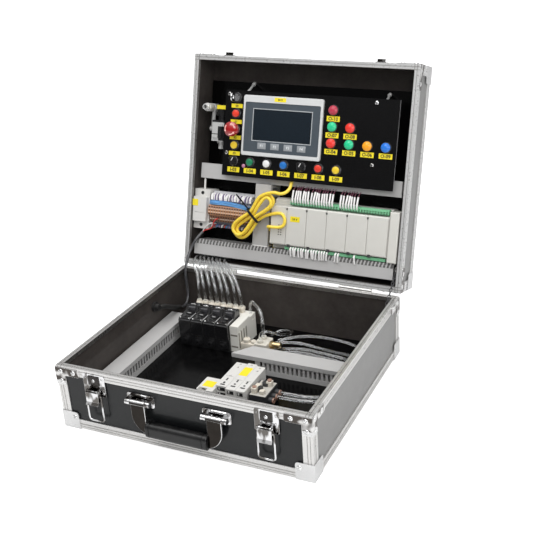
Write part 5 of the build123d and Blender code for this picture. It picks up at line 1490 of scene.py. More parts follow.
@dataclass
class AirTubes:
    """The eight supply tubes, the free tubes of the base and the grey cable.

    Attributes:
        base_plate_top: Height of the base's mounting plate.
        valve_left: Left end of the valves.
        valve_pitch: Distance between neighbouring valves.
        valve_count: Number of valves.
        tube_pitch: Distance between neighbouring tubes at the lid.
        lid_left: Where the first tube enters the lid.
        port_back: Rear end of the valves' ports.
        tee_x: Where the tee stands.
        lift: How far the loose tubes lie over the plate.
        set_back: How far they stand behind the cross duct.
        gather: Share of their spread that the tubes lose at the hinge.
        sway: How far a tube strays by chance.
        port_x: Distance of a port from its valve's middle.
        port_rise: How far the ports' upper ends stand over the plate.
        tube: Diameter of the tubes.
        thin: Diameter of the tee's loop and of the grey cable.
    """

    base_plate_top: float = 15.0
    valve_left: float = -154.0
    valve_pitch: float = 24.4
    valve_count: int = 4
    tube_pitch: float = 9.0
    lid_left: float = -187.0
    port_back: float = 332.0
    tee_x: float = 2.0
    lift: float = 8.5
    set_back: float = 5.0
    gather: float = 0.15
    sway: float = 4.5
    port_x: float = 6.1
    port_rise: float = 57.5
    tube: float = 6.0
    thin: float = 5.0

    def bundle_route(self, index: int) -> list[Vector]:
        """Give one supply tube's route from its fitting over the hinge.

        Args:
            index: Number of the tube from the left.

        Returns:
            The control points.
        """
        valve, side = divmod(index, 2)
        x = self.valve_left + self.valve_pitch * (valve + 0.5)
        x += self.port_x if side else -self.port_x
        y = self.port_back - 6.5
        start = self.base_plate_top + self.port_rise
        end = self.lid_left + self.tube_pitch * index
        shift = end - x
        drawn = end - self.gather * self.tube_pitch * index
        chance = random.Random(40 + index)
        sway, rise = (chance.uniform(-self.sway, self.sway) for _ in range(2))
        return BASE.line(
            (x, y, start), (x, y, start + 18),
            (x + 0.28 * shift + 5 + sway, y + 10 + rise, start + 44),
            (x + 0.72 * shift + 4 - sway, y + 34 - rise, start + 57),
        ) + LID.line((drawn, 14.5, LID_HEIGHT - 4), (end, 14.5, LID_HEIGHT - 28))

    def loose_routes(self) -> list[list[Vector]]:
        """Give the routes round the duct's end, of the arch and along the right wall.

        Returns:
            The control points of each tube.
        """
        top, set_back = self.base_plate_top, self.set_back
        low = top + 3.2 + self.lift
        routes = []
        for lane in range(2):
            back, out, front = 272 + 12 * lane, 8.0 * lane, 146 - 12 * lane
            routes.append(BASE.line(
                (self.tee_x + 17, back, top + 8), (40, back, top + 12),
                (72, back + 2 + set_back, low + 2), (110, back - 3 + set_back, low + 2),
                (146 + out / 2, back - 6 + set_back, low + 2),
                (174 + out / 2, back - 22 + set_back, low), (186 + out, 228, low),
                (184 + out, 198, low), (168 + out / 2, front + 24, low),
                (140, front + 8, low + 3), (113, front, top + 18), (91, front, top + 18)))
        right = self.valve_left + self.valve_pitch * self.valve_count
        back, tee = self.port_back, self.tee_x
        routes.append(BASE.line(
            (right + 10, back - 6, top + 46), (right + 10, back - 6, top + 62),
            (right + 20, back - 16, top + 76), (tee - 13, back - 34, top + 70),
            (tee - 4, 284, top + 48), (tee - 4, 284, top + 29)))
        low = top + 7.0
        routes.append(BASE.line(
            (12, 310, low + 2), (36, 324, low + 7), (76, 328, low + 13), (126, 324, low + 15),
            (170, 312, low + 13), (194, 290, low + 8), (200, 240, low + 3), (200.5, 160, low),
            (198, 92, low), (186, 52, low), (150, 36, low), (104, 42, low), (76, 66, low),
            (70, 96, low + 2), (70, 111.6, low + 4)))
        low += 9.0
        routes.append(BASE.line(
            (12, 300, low - 6), (44, 312, low - 4), (86, 308, low - 6), (130, 300, low - 5),
            (170, 290, low + 1), (194, 268, low + 5), (198, 228, low + 7), (194, 180, low + 3),
            (190, 120, low - 2), (176, 80, low - 6), (146, 62, low - 8), (110, 66, low - 8),
            (88, 84, low - 6), (79, 102, low - 5), (79, 111.6, low - 5)))
        return routes

    def loop_route(self) -> list[Vector]:
        """Give the route of the short loop from the tee's rear ring to its back.

        Returns:
            The control points.
        """
        return BASE.line(
            (-2, 270, 42), (-2, 270, 58), (12, 275, 61), (28, 290, 48), (38, 312, 41),
            (30, 334, 35), (6, 341, 29), (-8, 322, 25), (-4, 305, 25), (-4, 291.5, 25))

    def cable_route(self) -> list[Vector]:
        """Give the grey cable's route from its sleeve over the hinge.

        Returns:
            The control points.
        """
        x = -202.5
        return BASE.line(
            (x + 14, 322, 52), (x + 14, 339.6, 44), (x + 12, 357, 57), (x + 9, 360, 82),
            (x + 6, 364, 106), (x + 6, 378, 126),
        ) + LID.line((x + 8, 30, LID_HEIGHT + 3), (x + 16, 50, LID_HEIGHT - 3),
                     (x + 22, 60, LID_HEIGHT - 12))

    def build(self) -> None:
        """Lay every tube and the grey cable."""
        for index in range(2 * self.valve_count):
            route = self.bundle_route(index)
            cord = Cord(f"supply_tube_{index + 1}", route, self.tube, CLEAR, lay="hanging")
            cord.lay_across_hinge("air_tube_bundle", route[1], route[4],
                                  () if index else ("air_tube_bundle",))
        for number, route in enumerate(self.loose_routes()):
            Cord(f"base_tube_{number + 1}", route, self.tube, CLEAR).lay_curve(
                "base", "loose_air_tubes", () if number else ("loose_air_tubes",))
        Cord("tee_loop_tube", self.loop_route(), self.thin, CLEAR).lay_curve(
            "base", "loose_air_tubes")
        route = self.cable_route()
        Cord("grey_lid_cable", route, self.thin, CABLE_GREY, lay="hanging").lay_across_hinge(
            "lid_cable", route[3], route[7], ("lid_cable",))


@dataclass
class PatchCable:
    """The yellow cable: a tied hank with a small loop, and leads at both ends.

    Attributes:
        centre: Middle of the hank on the lid.
        turn: Angle of the hank's width from the lid's x, in degrees.
        turns: Number of turns.
        pitch: Distance between neighbouring runs.
        radius: Radius of the cable.
        waist: Half width of the hank at its tie.
        lobe: Half width of its lobes.
        lobe_at: Where the last run leaves the lobe.
        reach: Half length of the hank.
        start: Where the first run starts in the hank's plane.
        level: Height of the hank's lower layer.
        shoulder: Where a lobe begins, from the tie.
        tip: Where its crown begins.
        gap_x: Where the cable comes up beside the controller.
        panel_back: Height of the panel's rear face.
        clearance: How far the cable stays off it.
    """

    radius: float = 2.9
    centre: Pair = (-70.0, 103.0)
    turn: float = -43.0
    turns: int = 3
    pitch: float = 6.7
    waist: float = 11.75
    lobe: float = 17.0
    lobe_at: float = 33.0
    reach: float = 52.0
    start: Pair = (20.5, 27.0)
    level: float = 73.0
    shoulder: float = 17.0
    tip: float = 37.0
    gap_x: float = -42.475
    panel_back: float = 63.0
    clearance: float = 1.7

    def hank_spot(self, x: float, y: float, z: float) -> Vector:
        """Give the world point of a point in the hank's own plane.

        Args:
            x: Distance across the hank from its middle.
            y: Distance along it.
            z: Height over its lower layer.

        Returns:
            The point.
        """
        angle = math.radians(self.turn)
        return LID.at(self.centre[0] + x * math.cos(angle) - y * math.sin(angle),
                      self.centre[1] + x * math.sin(angle) + y * math.cos(angle),
                      self.level + z)

    def hank_route(self) -> list[Vector]:
        """Give the control points of the hank's turns.

        Runs on the right head down and runs on the left head up. Each is drawn in by half
        a pitch until the run that climbs to the upper layer, and let out again after it.

        Returns:
            The control points.
        """
        step, last = self.pitch / 2, 2 * self.turns - 1
        route = [self.hank_spot(*self.start, 0.0)]
        for run in range(last + 1):
            side = 1 if run % 2 == 0 else -1
            drawn, drawn_next = (min(k, 2 * self.turns - k) for k in (run, run + 1))
            low = 0.0 if run <= self.turns else self.pitch
            high = 0.0 if run < self.turns else self.pitch
            waist, lobe = self.waist - drawn * step, self.lobe - drawn * step
            route.append(self.hank_spot(side * (lobe - 2.0), side * self.shoulder, low))
            route.append(self.hank_spot(side * (waist - 1.2), 0.0, (low + high) / 2))
            route.append(self.hank_spot(side * (lobe - 2.0), -side * self.shoulder, high))
            if run < last:
                crown = self.reach - (drawn + drawn_next) * step / 2
                lobe_next = self.lobe - drawn_next * step
                route += [
                    self.hank_spot(side * (lobe + 0.9), -side * self.tip, high),
                    self.hank_spot(side * lobe * 0.62, -side * (crown + 0.8), high),
                    self.hank_spot(-side * lobe_next * 0.62, -side * (crown + 0.8), high),
                    self.hank_spot(-side * (lobe_next + 0.9), -side * self.tip, high),
                ]
        route.append(self.hank_spot(-self.lobe, self.lobe_at, self.pitch))
        return route

    def route(self) -> list[Vector]:
        """Give the whole cable's control points.

        Returns:
            The control points.
        """
        gap_x, level = self.gap_x, self.level
        lead_in = LID.line(
            (gap_x, 36, 38), (gap_x, 53, 38), (gap_x, 72, 49), (gap_x, 84, 66),
            (gap_x + 3, 87, 80.5), (-27, 86.5, 79), (-12, 88, level + 1),
            (-8.5, 101, level), (-17, 113.5, level))
        behind = self.panel_back - self.clearance - self.radius
        lead_out = LID.line(
            (-34, 149, 80), (-17.5, 145, 76), (-8, 154, 65), (-8, 169, behind),
            (-5.5, 189, behind), (-5.5, 204, behind))
        return lead_in + self.hank_route() + lead_out

    def build(self) -> None:
        """Lay the cable."""
        Cord("patch_cable_yellow", self.route(), 2 * self.radius, CABLE_YELLOW,
             lay="coiled").lay_curve("lid", "patch_cable", ("patch_cable",),
                                     [frame["nodes"]["patch_cable_tie_and_plug"]])


# Dressing -------------------------------------------------------------------------------

def mirrored(place: Place, facing: Vector,
             rows: Iterable[tuple[float, float, float, float]]) -> list[Site]:
    """Give sites on the left of the case and then the same on its right.

    Args:
        place: Half of the case.
        facing: The way that the sites face.
        rows: How far a fitting stands from the case's middle, then the site's x from the
            fitting's own middle, its y and its z.

    Returns:
        The sites.
    """
    return [Site(place.at(side * middle + x, y, z), facing)
            for side in SIDES for middle, x, y, z in rows]


def around(middle: Pair, radius: float, degrees: float) -> Pair:
    """Give the point of a circle at an angle."""
    angle = math.radians(degrees)
    return (middle[0] + radius * math.cos(angle), middle[1] + radius * math.sin(angle))


@dataclass
class Dressing:
    """What dresses one part of the object.

    Attributes:
        hardware: The templates and the trees that set them.
    """

    hardware: Hardware


@dataclass
class LidChain(Dressing):
    """The chain that holds the lid, one link turned a quarter from the last.

    Attributes:
        wire: Diameter of the wire of a link.
        link_length: Outer length of a link.
        link_width: Outer width of a link.
        eyes: Length that the two eyes take from the chain.
        steps: Points along a link.
        sides: Faces round its wire.
    """

    wire: float = 1.3
    link_length: float = 9.0
    link_width: float = 5.4
    eyes: float = 6.8
    steps: int = 24
    sides: int = 8

    def link(self) -> Shape:
        """Draw one link, a round wire bent to an oval.

        Returns:
            The link, in millimetres at the origin.
        """
        shape = Shape(BASE)
        half = (self.link_length - self.link_width) / 2
        bend = (self.link_width - self.wire) / 2
        centres = []
        for k in range(self.steps):
            angle = 2 * math.pi * k / self.steps
            shift = half if math.sin(angle) >= 0 else -half
            centres.append(Vector((bend * math.cos(angle), 0.0, bend * math.sin(angle) + shift)))
        side = Vector((0.0, 1.0, 0.0))
        turns = [2 * math.pi * j / self.sides for j in range(self.sides)]
        rings = []
        for k, centre in enumerate(centres):
            out = (centres[(k + 1) % self.steps] - centres[k - 1]).normalized().cross(side)
            rings.append([shape.mesh.verts.new(
                centre + (side * math.cos(a) + out * math.sin(a)) * self.wire / 2) for a in turns])
        for ring, after in zip(rings, rings[1:] + rings[:1]):
            for j in range(self.sides):
                beyond = (j + 1) % self.sides
                shape.mesh.faces.new([ring[j], ring[beyond], after[beyond], after[j]])
        return shape

    def build(self) -> None:
        """Put links between the two eyes as one fixed piece in world space."""
        low, high = BASE.at(197.3, 338.0, 92.0), LID.at(197.3, 37.2, 57.5)
        run = high - low
        along = run.normalized()
        pitch = (self.link_length - 2 * self.wire) * MM
        count = int((run.length - self.eyes * MM) / pitch)
        first = run.length / 2 - pitch * (count - 1) / 2
        sites = [Site(low + along * (first + k * pitch), along, (k % 2) * math.pi / 2)
                 for k in range(count)]
        piece = self.hardware.scatter.place(
            "holding_chain", sites, self.hardware.template("chain_link", self.link()), "base",
            BLACK_STEEL, "lid_chain", loose=False)
        piece.parent = None
        tuple(low)
        tuple(high)
        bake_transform(piece)
        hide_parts("lid_chain")


@dataclass
class CaseHardware(Dressing):
    """Screws of the corner plates, latches, handle and hinges, and the painted shade in the
    latches' windows.

    Attributes:
        skin: How far the pressed plates stand off the case.
        boss: How far the latches' plates stand off it.
        latch_x: Where the latches stand, from the middle.
        bracket_x: Where the handle's brackets stand.
        hinge_x: Where the hinges stand.
    """

    skin: float = 1.2
    boss: float = 2.8
    latch_x: float = 142.0
    bracket_x: float = 63.0
    hinge_x: float = 130.0

    def corner_sites(self, place: Place, height: float) -> tuple[list[Site], list[Site]]:
        """Give the screws' sites on a half's corner plates and caps.

        Args:
            place: Half of the case.
            height: Its height.

        Returns:
            Sites of the proud screws, then of the flush ones.
        """
        top = height - 2.5
        proud, flush = [], []
        for side in SIDES:
            for y, way in ((0.0, -1), (CASE_DEPTH, 1)):
                for along, down in ((9.0, 6.5), (31.5, 6.5), (8.4, 23.0)):
                    proud.append(Site(place.at(side * (HALF_WIDTH - along), y + way * self.skin,
                                               top - down), place.along * way))
                    flush.append(Site(place.at(side * (HALF_WIDTH + self.skin), y - way * along,
                                               top - down), place.across * side))
                proud.append(Site(place.at(side * (HALF_WIDTH - 22.0), y + way * 1.5, 20.0),
                                  place.along * way))
        return proud, flush

    def build(self) -> None:
        """Set every screw and the painted shade in the latches' windows."""
        for place, height in ((BASE, BASE_HEIGHT), (LID, LID_HEIGHT)):
            proud, flush = self.corner_sites(place, height)
            for name, sites, rise in (("front", proud, 0.0), ("side", flush, 0.26)):
                self.hardware.screws(f"{place.body}_{name}_corner_screws", sites, 4.0, place.body,
                                     BRIGHT_SCREW, f"{place.body}_corner_fittings", rise)
        latch, hinge, far = self.latch_x, self.hinge_x, CASE_DEPTH + self.skin
        front = [(latch, x, -self.skin, z) for z in (98.0, 74.0) for x in (-15.0, 15.0)]
        front += [(self.bracket_x, x, -0.1, 76.0) for x in (-19.0, 19.0)]
        for name, place, facing, radius, finish, slot, rows in (
            ("front_screws", BASE, -BASE.along, 2.1, CHROME, "latch_plates", front),
            ("latch_bosses", BASE, -BASE.along, 3.1, CHROME, "latch_plates",
             [(latch, 0.0, -self.boss, 94.0)]),
            ("base_hinge_screws", BASE, BASE.along, 1.7, STEEL, "base_hinge_hardware",
             [(hinge, x, far, 101.0) for x in (-22.0, 0.0, 22.0)]),
            ("lid_hinge_screws", LID, -LID.along, 1.7, STEEL, "lid_hinge_hardware",
             [(hinge, x, -self.skin, 63.0) for x in (-22.0, 0.0, 22.0)]),
            ("keeper_screws", LID, LID.along, 1.7, CHROME, "latch_keepers",
             [(latch, x, far, LID_HEIGHT - 12.0) for x in (-5.5, 5.5)]),
        ):
            self.hardware.screws(name, mirrored(place, facing, rows), radius, place.body, finish,
                                 slot)
        # A dark sheet of painted shade in each latch's recessed window.
        window = Shape(BASE)
        for side in SIDES:
            x = side * latch
            window.box((x - 9.3, -self.boss, 86.6), (x + 9.3, -1.0, 101.2), 0.1)
        window.piece("latch_windows", LATCH_SHADE, "latch_plates")


@dataclass
class PanelDressing(Dressing):
    """What is on and beside the black panel: labels, lamps, keys, screws, rods and trim.

    Attributes:
        face: Height of the panel's face.
        screen_rise: How far the screen's housing stands on it.
        stop_rise: How far the emergency stop's head stands on it.
        column_x: Where the column of switches stands.
        row_y: Where the row of buttons stands.
        row_pitch: Distance between neighbours in the row.
        column_pitch: Distance between neighbours in the column.
        label: Size of a label.
        lamps: Each pilot lamp's x, y, name, lens colour and label.
    """

    face: float = 66.0
    screen_rise: float = 5.0
    stop_rise: float = 25.0
    column_x: float = -121.0
    row_y: float = 196.0
    row_pitch: float = 33.0
    column_pitch: float = 28.0
    label: Pair = (24.0, 9.0)
    lamps: tuple[tuple[float, float, str, Colour, str], ...] = (
        (64.0, 297.0, "rose", (0.42, 0.03, 0.06), "O-10"),
        (64.0, 269.0, "green", (0.01, 0.52, 0.24), "O-07"),
        (97.0, 269.0, "red", (0.72, 0.03, 0.02), "O-08"),
        (64.0, 241.0, "red_low", (0.72, 0.03, 0.02), "O-04"),
        (97.0, 241.0, "green_low", (0.01, 0.52, 0.24), "O-05"),
        (130.0, 241.0, "amber", (0.86, 0.34, 0.01), "O-06"),
        (163.0, 241.0, "blue", (0.012, 0.16, 0.62), "O-09"),
    )

    def build_labels(self) -> None:
        """Stick the yellow labels on and letter them."""
        plates, ink = Shape(LID), Shape(LID)
        rows = [(self.column_x + self.row_pitch * k, self.row_y - 15.5, self.label, f"I-0{3 + k}",
                 0.3, 8.4) for k in range(7)]
        rows += [(x, y - 14.5, self.label, words, 0.3, 8.4) for x, y, _, _, words in self.lamps]
        rows += [(self.column_x, self.row_y + self.column_pitch * (k + 0.5) - 0.5, (22.0, 7.2),
                  f"0{3 - k}", 0.2, 5.6) for k in range(4)]
        for x, y, size, words, drop, letter in rows:
            plates.pad((x, y), size, self.face, self.face + 0.35, 0.12, 1)
            ink.text(words, (x, y - drop, self.face + 0.42), letter)
        top = self.face + self.screen_rise
        plates.box((-46.0, 304.6, top), (-24.0, 311.8, top + 0.3), 0.1, 1)
        ink.text("24 V", (-35.0, 308.0, top + 0.37), 4.8)
        plates.piece("panel_labels", YELLOW_LABEL, "control_panel")
        ink.piece("panel_label_numbers", INK_AND_SHADE, "control_panel")

    def build_lamps(self) -> None:
        """Turn each pilot lamp: a black collar and a ribbed, domed lens."""
        for x, y, name, colour, _ in self.lamps:
            foot = (x, y, self.face)
            collar = Shape(LID).lathe(foot, [
                (0, -20), (8.0, -20), (8.0, 0), (9.5, 0), (9.5, 2.2), (9.0, 3.0), (8.2, 3.0),
                (8.2, 2.0), (0, 2.0)], sides=48)
            collar.piece(f"lamp_collar_{name}", NODE_FINISHES["switch_collars"], "pilot_lights",
                         stands_for=["pilot_lights"])
            lens = Shape(LID).lathe(foot, [
                (0, 1.0), (8.1, 1.0), (8.1, 4.6), (7.9, 5.4), (7.0, 6.3), (6.6, 6.25), (6.4, 6.6),
                (5.0, 7.6), (4.6, 7.6), (4.3, 7.95), (2.4, 8.6), (0, 8.8)], sides=48)
            glass = Lens(f"lens {name}", colour, 0.16, coat=0.6, tone=0.14, tone_scale=180.0,
                         relief=0.00002)
            lens.piece(f"lamp_lens_{name}", glass, "pilot_lights", smooth=30.0)

    def build_screen(self) -> None:
        """Add the window's bright border, the four keys and their lettering."""
        top = self.face + self.screen_rise - 0.8
        trim = Shape(LID)
        left, right, low, high = -85.0, 26.0, 236.0, 290.0
        near, far = 0.3, 1.6
        for a, b in (((left - far, low - far), (right + far, low - near)),
                     ((left - far, high + near), (right + far, high + far)),
                     ((left - far, low - near), (left - near, high + near)),
                     ((right + near, low - near), (right + far, high + near))):
            trim.box((*a, top - 0.1), (*b, top + 0.3))
        keys, ink = Shape(LID), Shape(LID)
        for number, x in enumerate((-66.0, -40.5, -15.0, 10.5)):
            keys.box((x - 8.2, 221.0, top - 0.2), (x + 8.2, 232.0, top + 0.55), 0.5)
            ink.text(f"F{number + 1}", (x, 226.3, top + 0.62), 6.4, 0.08)
        for shape, name, finish in (
            (trim, "screen_border", plastic("screen border silver", (0.46, 0.48, 0.49))),
            (keys, "screen_keys", plastic("membrane key grey", (0.30, 0.32, 0.34), 0.4)),
            (ink, "screen_key_marks", plastic("key mark white", (0.72, 0.74, 0.75), 0.5)),
        ):
            shape.piece(name, finish, "touch_screen_housing")

    def build_stop_marks(self) -> None:
        """Add the turn arrows round the emergency stop's head."""
        middle = (self.column_x, self.row_y + 2 * self.column_pitch)
        top = self.face + self.stop_rise
        marks = Shape(LID)
        for start in (20.0, 140.0, 260.0):
            steps = [start + 9.0 * k for k in range(7)]
            marks.prism([around(middle, 10.4, step) for step in steps]
                        + [around(middle, 8.6, step) for step in reversed(steps)],
                        top - 4.0, top - 1.75)
            marks.prism([around(middle, 7.2, start + 54.0), around(middle, 11.8, start + 54.0),
                         around(middle, 9.5, start + 72.0)], top - 4.5, top - 1.7)
        # The arrows' pale rose is partly their own colour and partly a painted reflection on the
        # glossy head.
        marks.piece("stop_arrows", plastic("stop arrow rose", (0.95, 0.55, 0.5)),
                    "emergency_stop_head", body="emergency_stop_head")

    def build_pointers(self) -> None:
        """Add the white pointer line on each selector's bar."""
        turn = math.radians(30.0)
        for name, x in (("left_selector", self.column_x), ("right_selector", 11.0)):
            line = [(x + a * math.cos(turn) + b * math.sin(turn),
                     self.row_y - a * math.sin(turn) + b * math.cos(turn))
                    for a, b in ((-0.55, 0.5), (0.55, 0.5), (0.55, 7.4), (-0.55, 7.4))]
            Shape(LID).prism(line, self.face + 12.4, self.face + 12.65).piece(
                f"{name}_pointer", BUTTON_WHITE, name, body=name)

    def build_rods(self) -> None:
        """Turn the two bright rods that hold the panel's top edge."""
        rods = Shape(LID)
        for near, far in (((-104.0, 318.0, 62.0), (-114.0, 336.5, 15.5)),
                          ((155.0, 316.5, 62.0), (146.0, 331.5, 15.5))):
            run = Vector(far) - Vector(near)
            length = run.length
            rods.lathe(near, [(0, 0), (2.2, 0), (2.2, length - 7), (3.4, length - 6.9),
                              (3.4, length - 1), (0, length - 1)], axis=tuple(run), sides=20)
        rods.piece("panel_top_rods", BRIGHT_ROD, "rails_and_standoffs")

    def build_regulator(self) -> None:
        """Add the regulator's label with its holder, and painted shade in the coupler's mouth."""
        Shape(LID).box((-172.0, 286.0, 46.0), (-152.0, 293.0, 46.35), 0.12, 1).piece(
            "regulator_label", YELLOW_LABEL, "air_regulator")
        holder = Shape(LID).box((-155.0, 291.0, 15.5), (-151.5, 297.0, 46.0), 0.3)
        holder.box((-172.0, 286.0, 44.8), (-152.0, 293.5, 46.0), 0.3)
        holder.piece("regulator_label_holder", BLACK, "air_regulator")
        # A dark disc of painted shade where the coupler's bore opens.
        mouth = Shape(LID).lathe((-184.0, 288.0, 54.0), [(0, 0), (3.5, 0), (3.5, 0.5), (0, 0.6)],
                                 sides=24)
        mouth.piece("coupler_mouth", INK_AND_SHADE, "air_regulator")

    def build(self) -> None:
        """Dress the whole panel."""
        self.build_pointers()
        self.build_labels()
        self.build_lamps()
        self.build_screen()
        self.build_stop_marks()
        self.build_rods()
        self.build_regulator()
        sites = [Site(LID.at(x, y, self.face), LID.out)
                 for x in (-137.0, 140.0) for y in (210.0, 314.0)]
        self.hardware.screws("panel_screws", sites, 3.6, "lid", CHROME, "rails_and_standoffs")
        status = Shape(LID).lathe((-101.0, 188.5, self.face), [
            (0, 0), (3.4, 0), (3.4, 0.8), (2.6, 1.5), (0, 1.8)], sides=24)
        status.piece("panel_status_lens", plastic("status lens rose", (0.55, 0.22, 0.36)),
                     "pilot_lights")
        edges = Shape(LID)
        for x in (-144.0, 181.0):
            edges.box((x - 0.15, 169.0, 62.95), (x + 0.15, 321.0, 65.6))
        edges.piece("panel_cut_edges", plastic("cut acrylic edge", (0.30, 0.30, 0.31)),
                    "control_panel")


@dataclass
class ControllerDressing(Dressing):
    """The controller's label, marks and clips, the duct's fingers and the wires.

    Attributes:
        left: Left end of the controller.
        right: Its right end.
        low: Its lower edge.
        high: Its upper edge.
        front: Height of its face.
        pin: Distance between neighbouring terminals.
        fingers: Number of fingers that show under the duct's rim.
        finger_pitch: Distance between neighbouring fingers.
        duct_face: Height of the duct's face.
    """

    left: float = -38.0
    right: float = 198.0
    low: float = 55.0
    high: float = 126.0
    front: float = 69.8
    pin: float = 5.0
    fingers: int = 58
    finger_pitch: float = 6.6
    duct_face: float = 63.5

    def build_marks(self) -> None:
        """Add the label, the marks, the clips and painted shade in the strips' screw ports."""
        front = self.front
        Shape(LID).box((-1.0, 99.0, front - 0.05), (17.0, 108.5, front + 0.3)).piece(
            "controller_label", YELLOW_LABEL, "plc_housing")
        ink = Shape(LID).text("24 V", (8.0, 103.6, front + 0.36), 5.2)
        for k in range(10):
            ink.pad((-22.0 + 4.4 * (k % 2), 74.0 + 4.2 * (k // 2)), (2.4, 1.8), front - 0.1,
                    front + 0.08)
        ink.piece("controller_marks", INK_AND_SHADE, "plc_housing")
        clips = Shape(LID)
        width = (self.right - 17.4 - self.left - 30.0) / 5
        for k in range(5):
            x = self.left + 30.0 + width * k
            clips.box((x + 3.4, self.low - 1.6, front - 3.6),
                      (x + 8.6, self.low + 2.6, front - 0.5), 0.5)
            clips.box((x - 2.0, self.high - 7.6, front - 2.4),
                      (x + 0.7, self.high - 4.4, front - 1.3), 0.2)
        clips.piece("controller_clips", DARK_GREY, "plc_housing")
        # Dark pads of painted shade in the strips' screw ports.
        ports = Shape(LID)
        for first, count in ((-4.0, 18), (92.0, 17)):
            for k in range(count):
                ports.pad((first + self.pin * (k + 0.5), 129.75), (2.4, 1.7), 66.8, 68.05)
        ports.piece("strip_screw_ports", INK_AND_SHADE, "plc_terminal_strips")

    def build_fingers(self) -> None:
        """Draw the band of slots over the lower duct as a shade with pale fingers."""
        face = self.duct_face
        Shape(LID).box((-192.5, 38.6, face - 0.1), (192.5, 47.35, face + 0.1)).piece(
            "duct_slot_shade", DUCT_SHADE, "lid_ducts")
        fingers = Shape(LID)
        for k in range(self.fingers):
            x = -191.5 + self.finger_pitch * k
            for rise, outline in (
                (0.45, ((0.0, 38.8), (2.6, 38.8), (5.0, 47.3), (2.4, 47.3))),
                (0.4, ((2.2, 38.8), (3.2, 38.8), (0.6, 43.0), (-0.2, 43.0))),
            ):
                fingers.prism([(x + dx, y) for dx, y in outline], face, face + rise)
        fingers.piece("duct_fingers", DUCT_GREY, "lid_ducts")

    def build(self) -> None:
        """Dress the controller and wire it."""
        self.build_marks()
        self.build_fingers()
        rng = random.Random(11)
        sleeves, tails = [], []
        for k in [*range(16), *range(18, 25)]:
            x = self.pin * k
            lean, rise = rng.uniform(-1.6, 1.6), rng.uniform(-1.0, 1.0)
            end = (x + lean, 154.0 + rise, 66.0)
            sleeves.append(LID.line((x, 132.0, 65.5), (x + lean * 0.3, 138.5, 69.0 + rise), end))
            tails.append(LID.line(end, (x + lean, 159.0, 60.0), (x + lean * 0.5, 164.0, 46.0)))
        for x in [2.0 + self.pin * k for k in range(15)] + [88.0, 93.0, 122.0]:
            lean = rng.uniform(-1.8, 1.8)
            sleeves.append(LID.line((x, 53.0, 65.0), (x + lean * 0.3, 49.6, 68.6),
                                    (x + lean, 37.5 + rng.uniform(-1.0, 1.0), 66.2)))
        plum = plastic("wire plum", (0.15, 0.04, 0.07), 0.45)
        for name, lines, radius, finish in (("sleeves", sleeves, 1.7, SLEEVE),
                                            ("tails", tails, 0.8, plum)):
            self.hardware.wires.run(f"controller_wire_{name}", lines, radius, "lid", finish,
                                    "plc_terminal_strips")


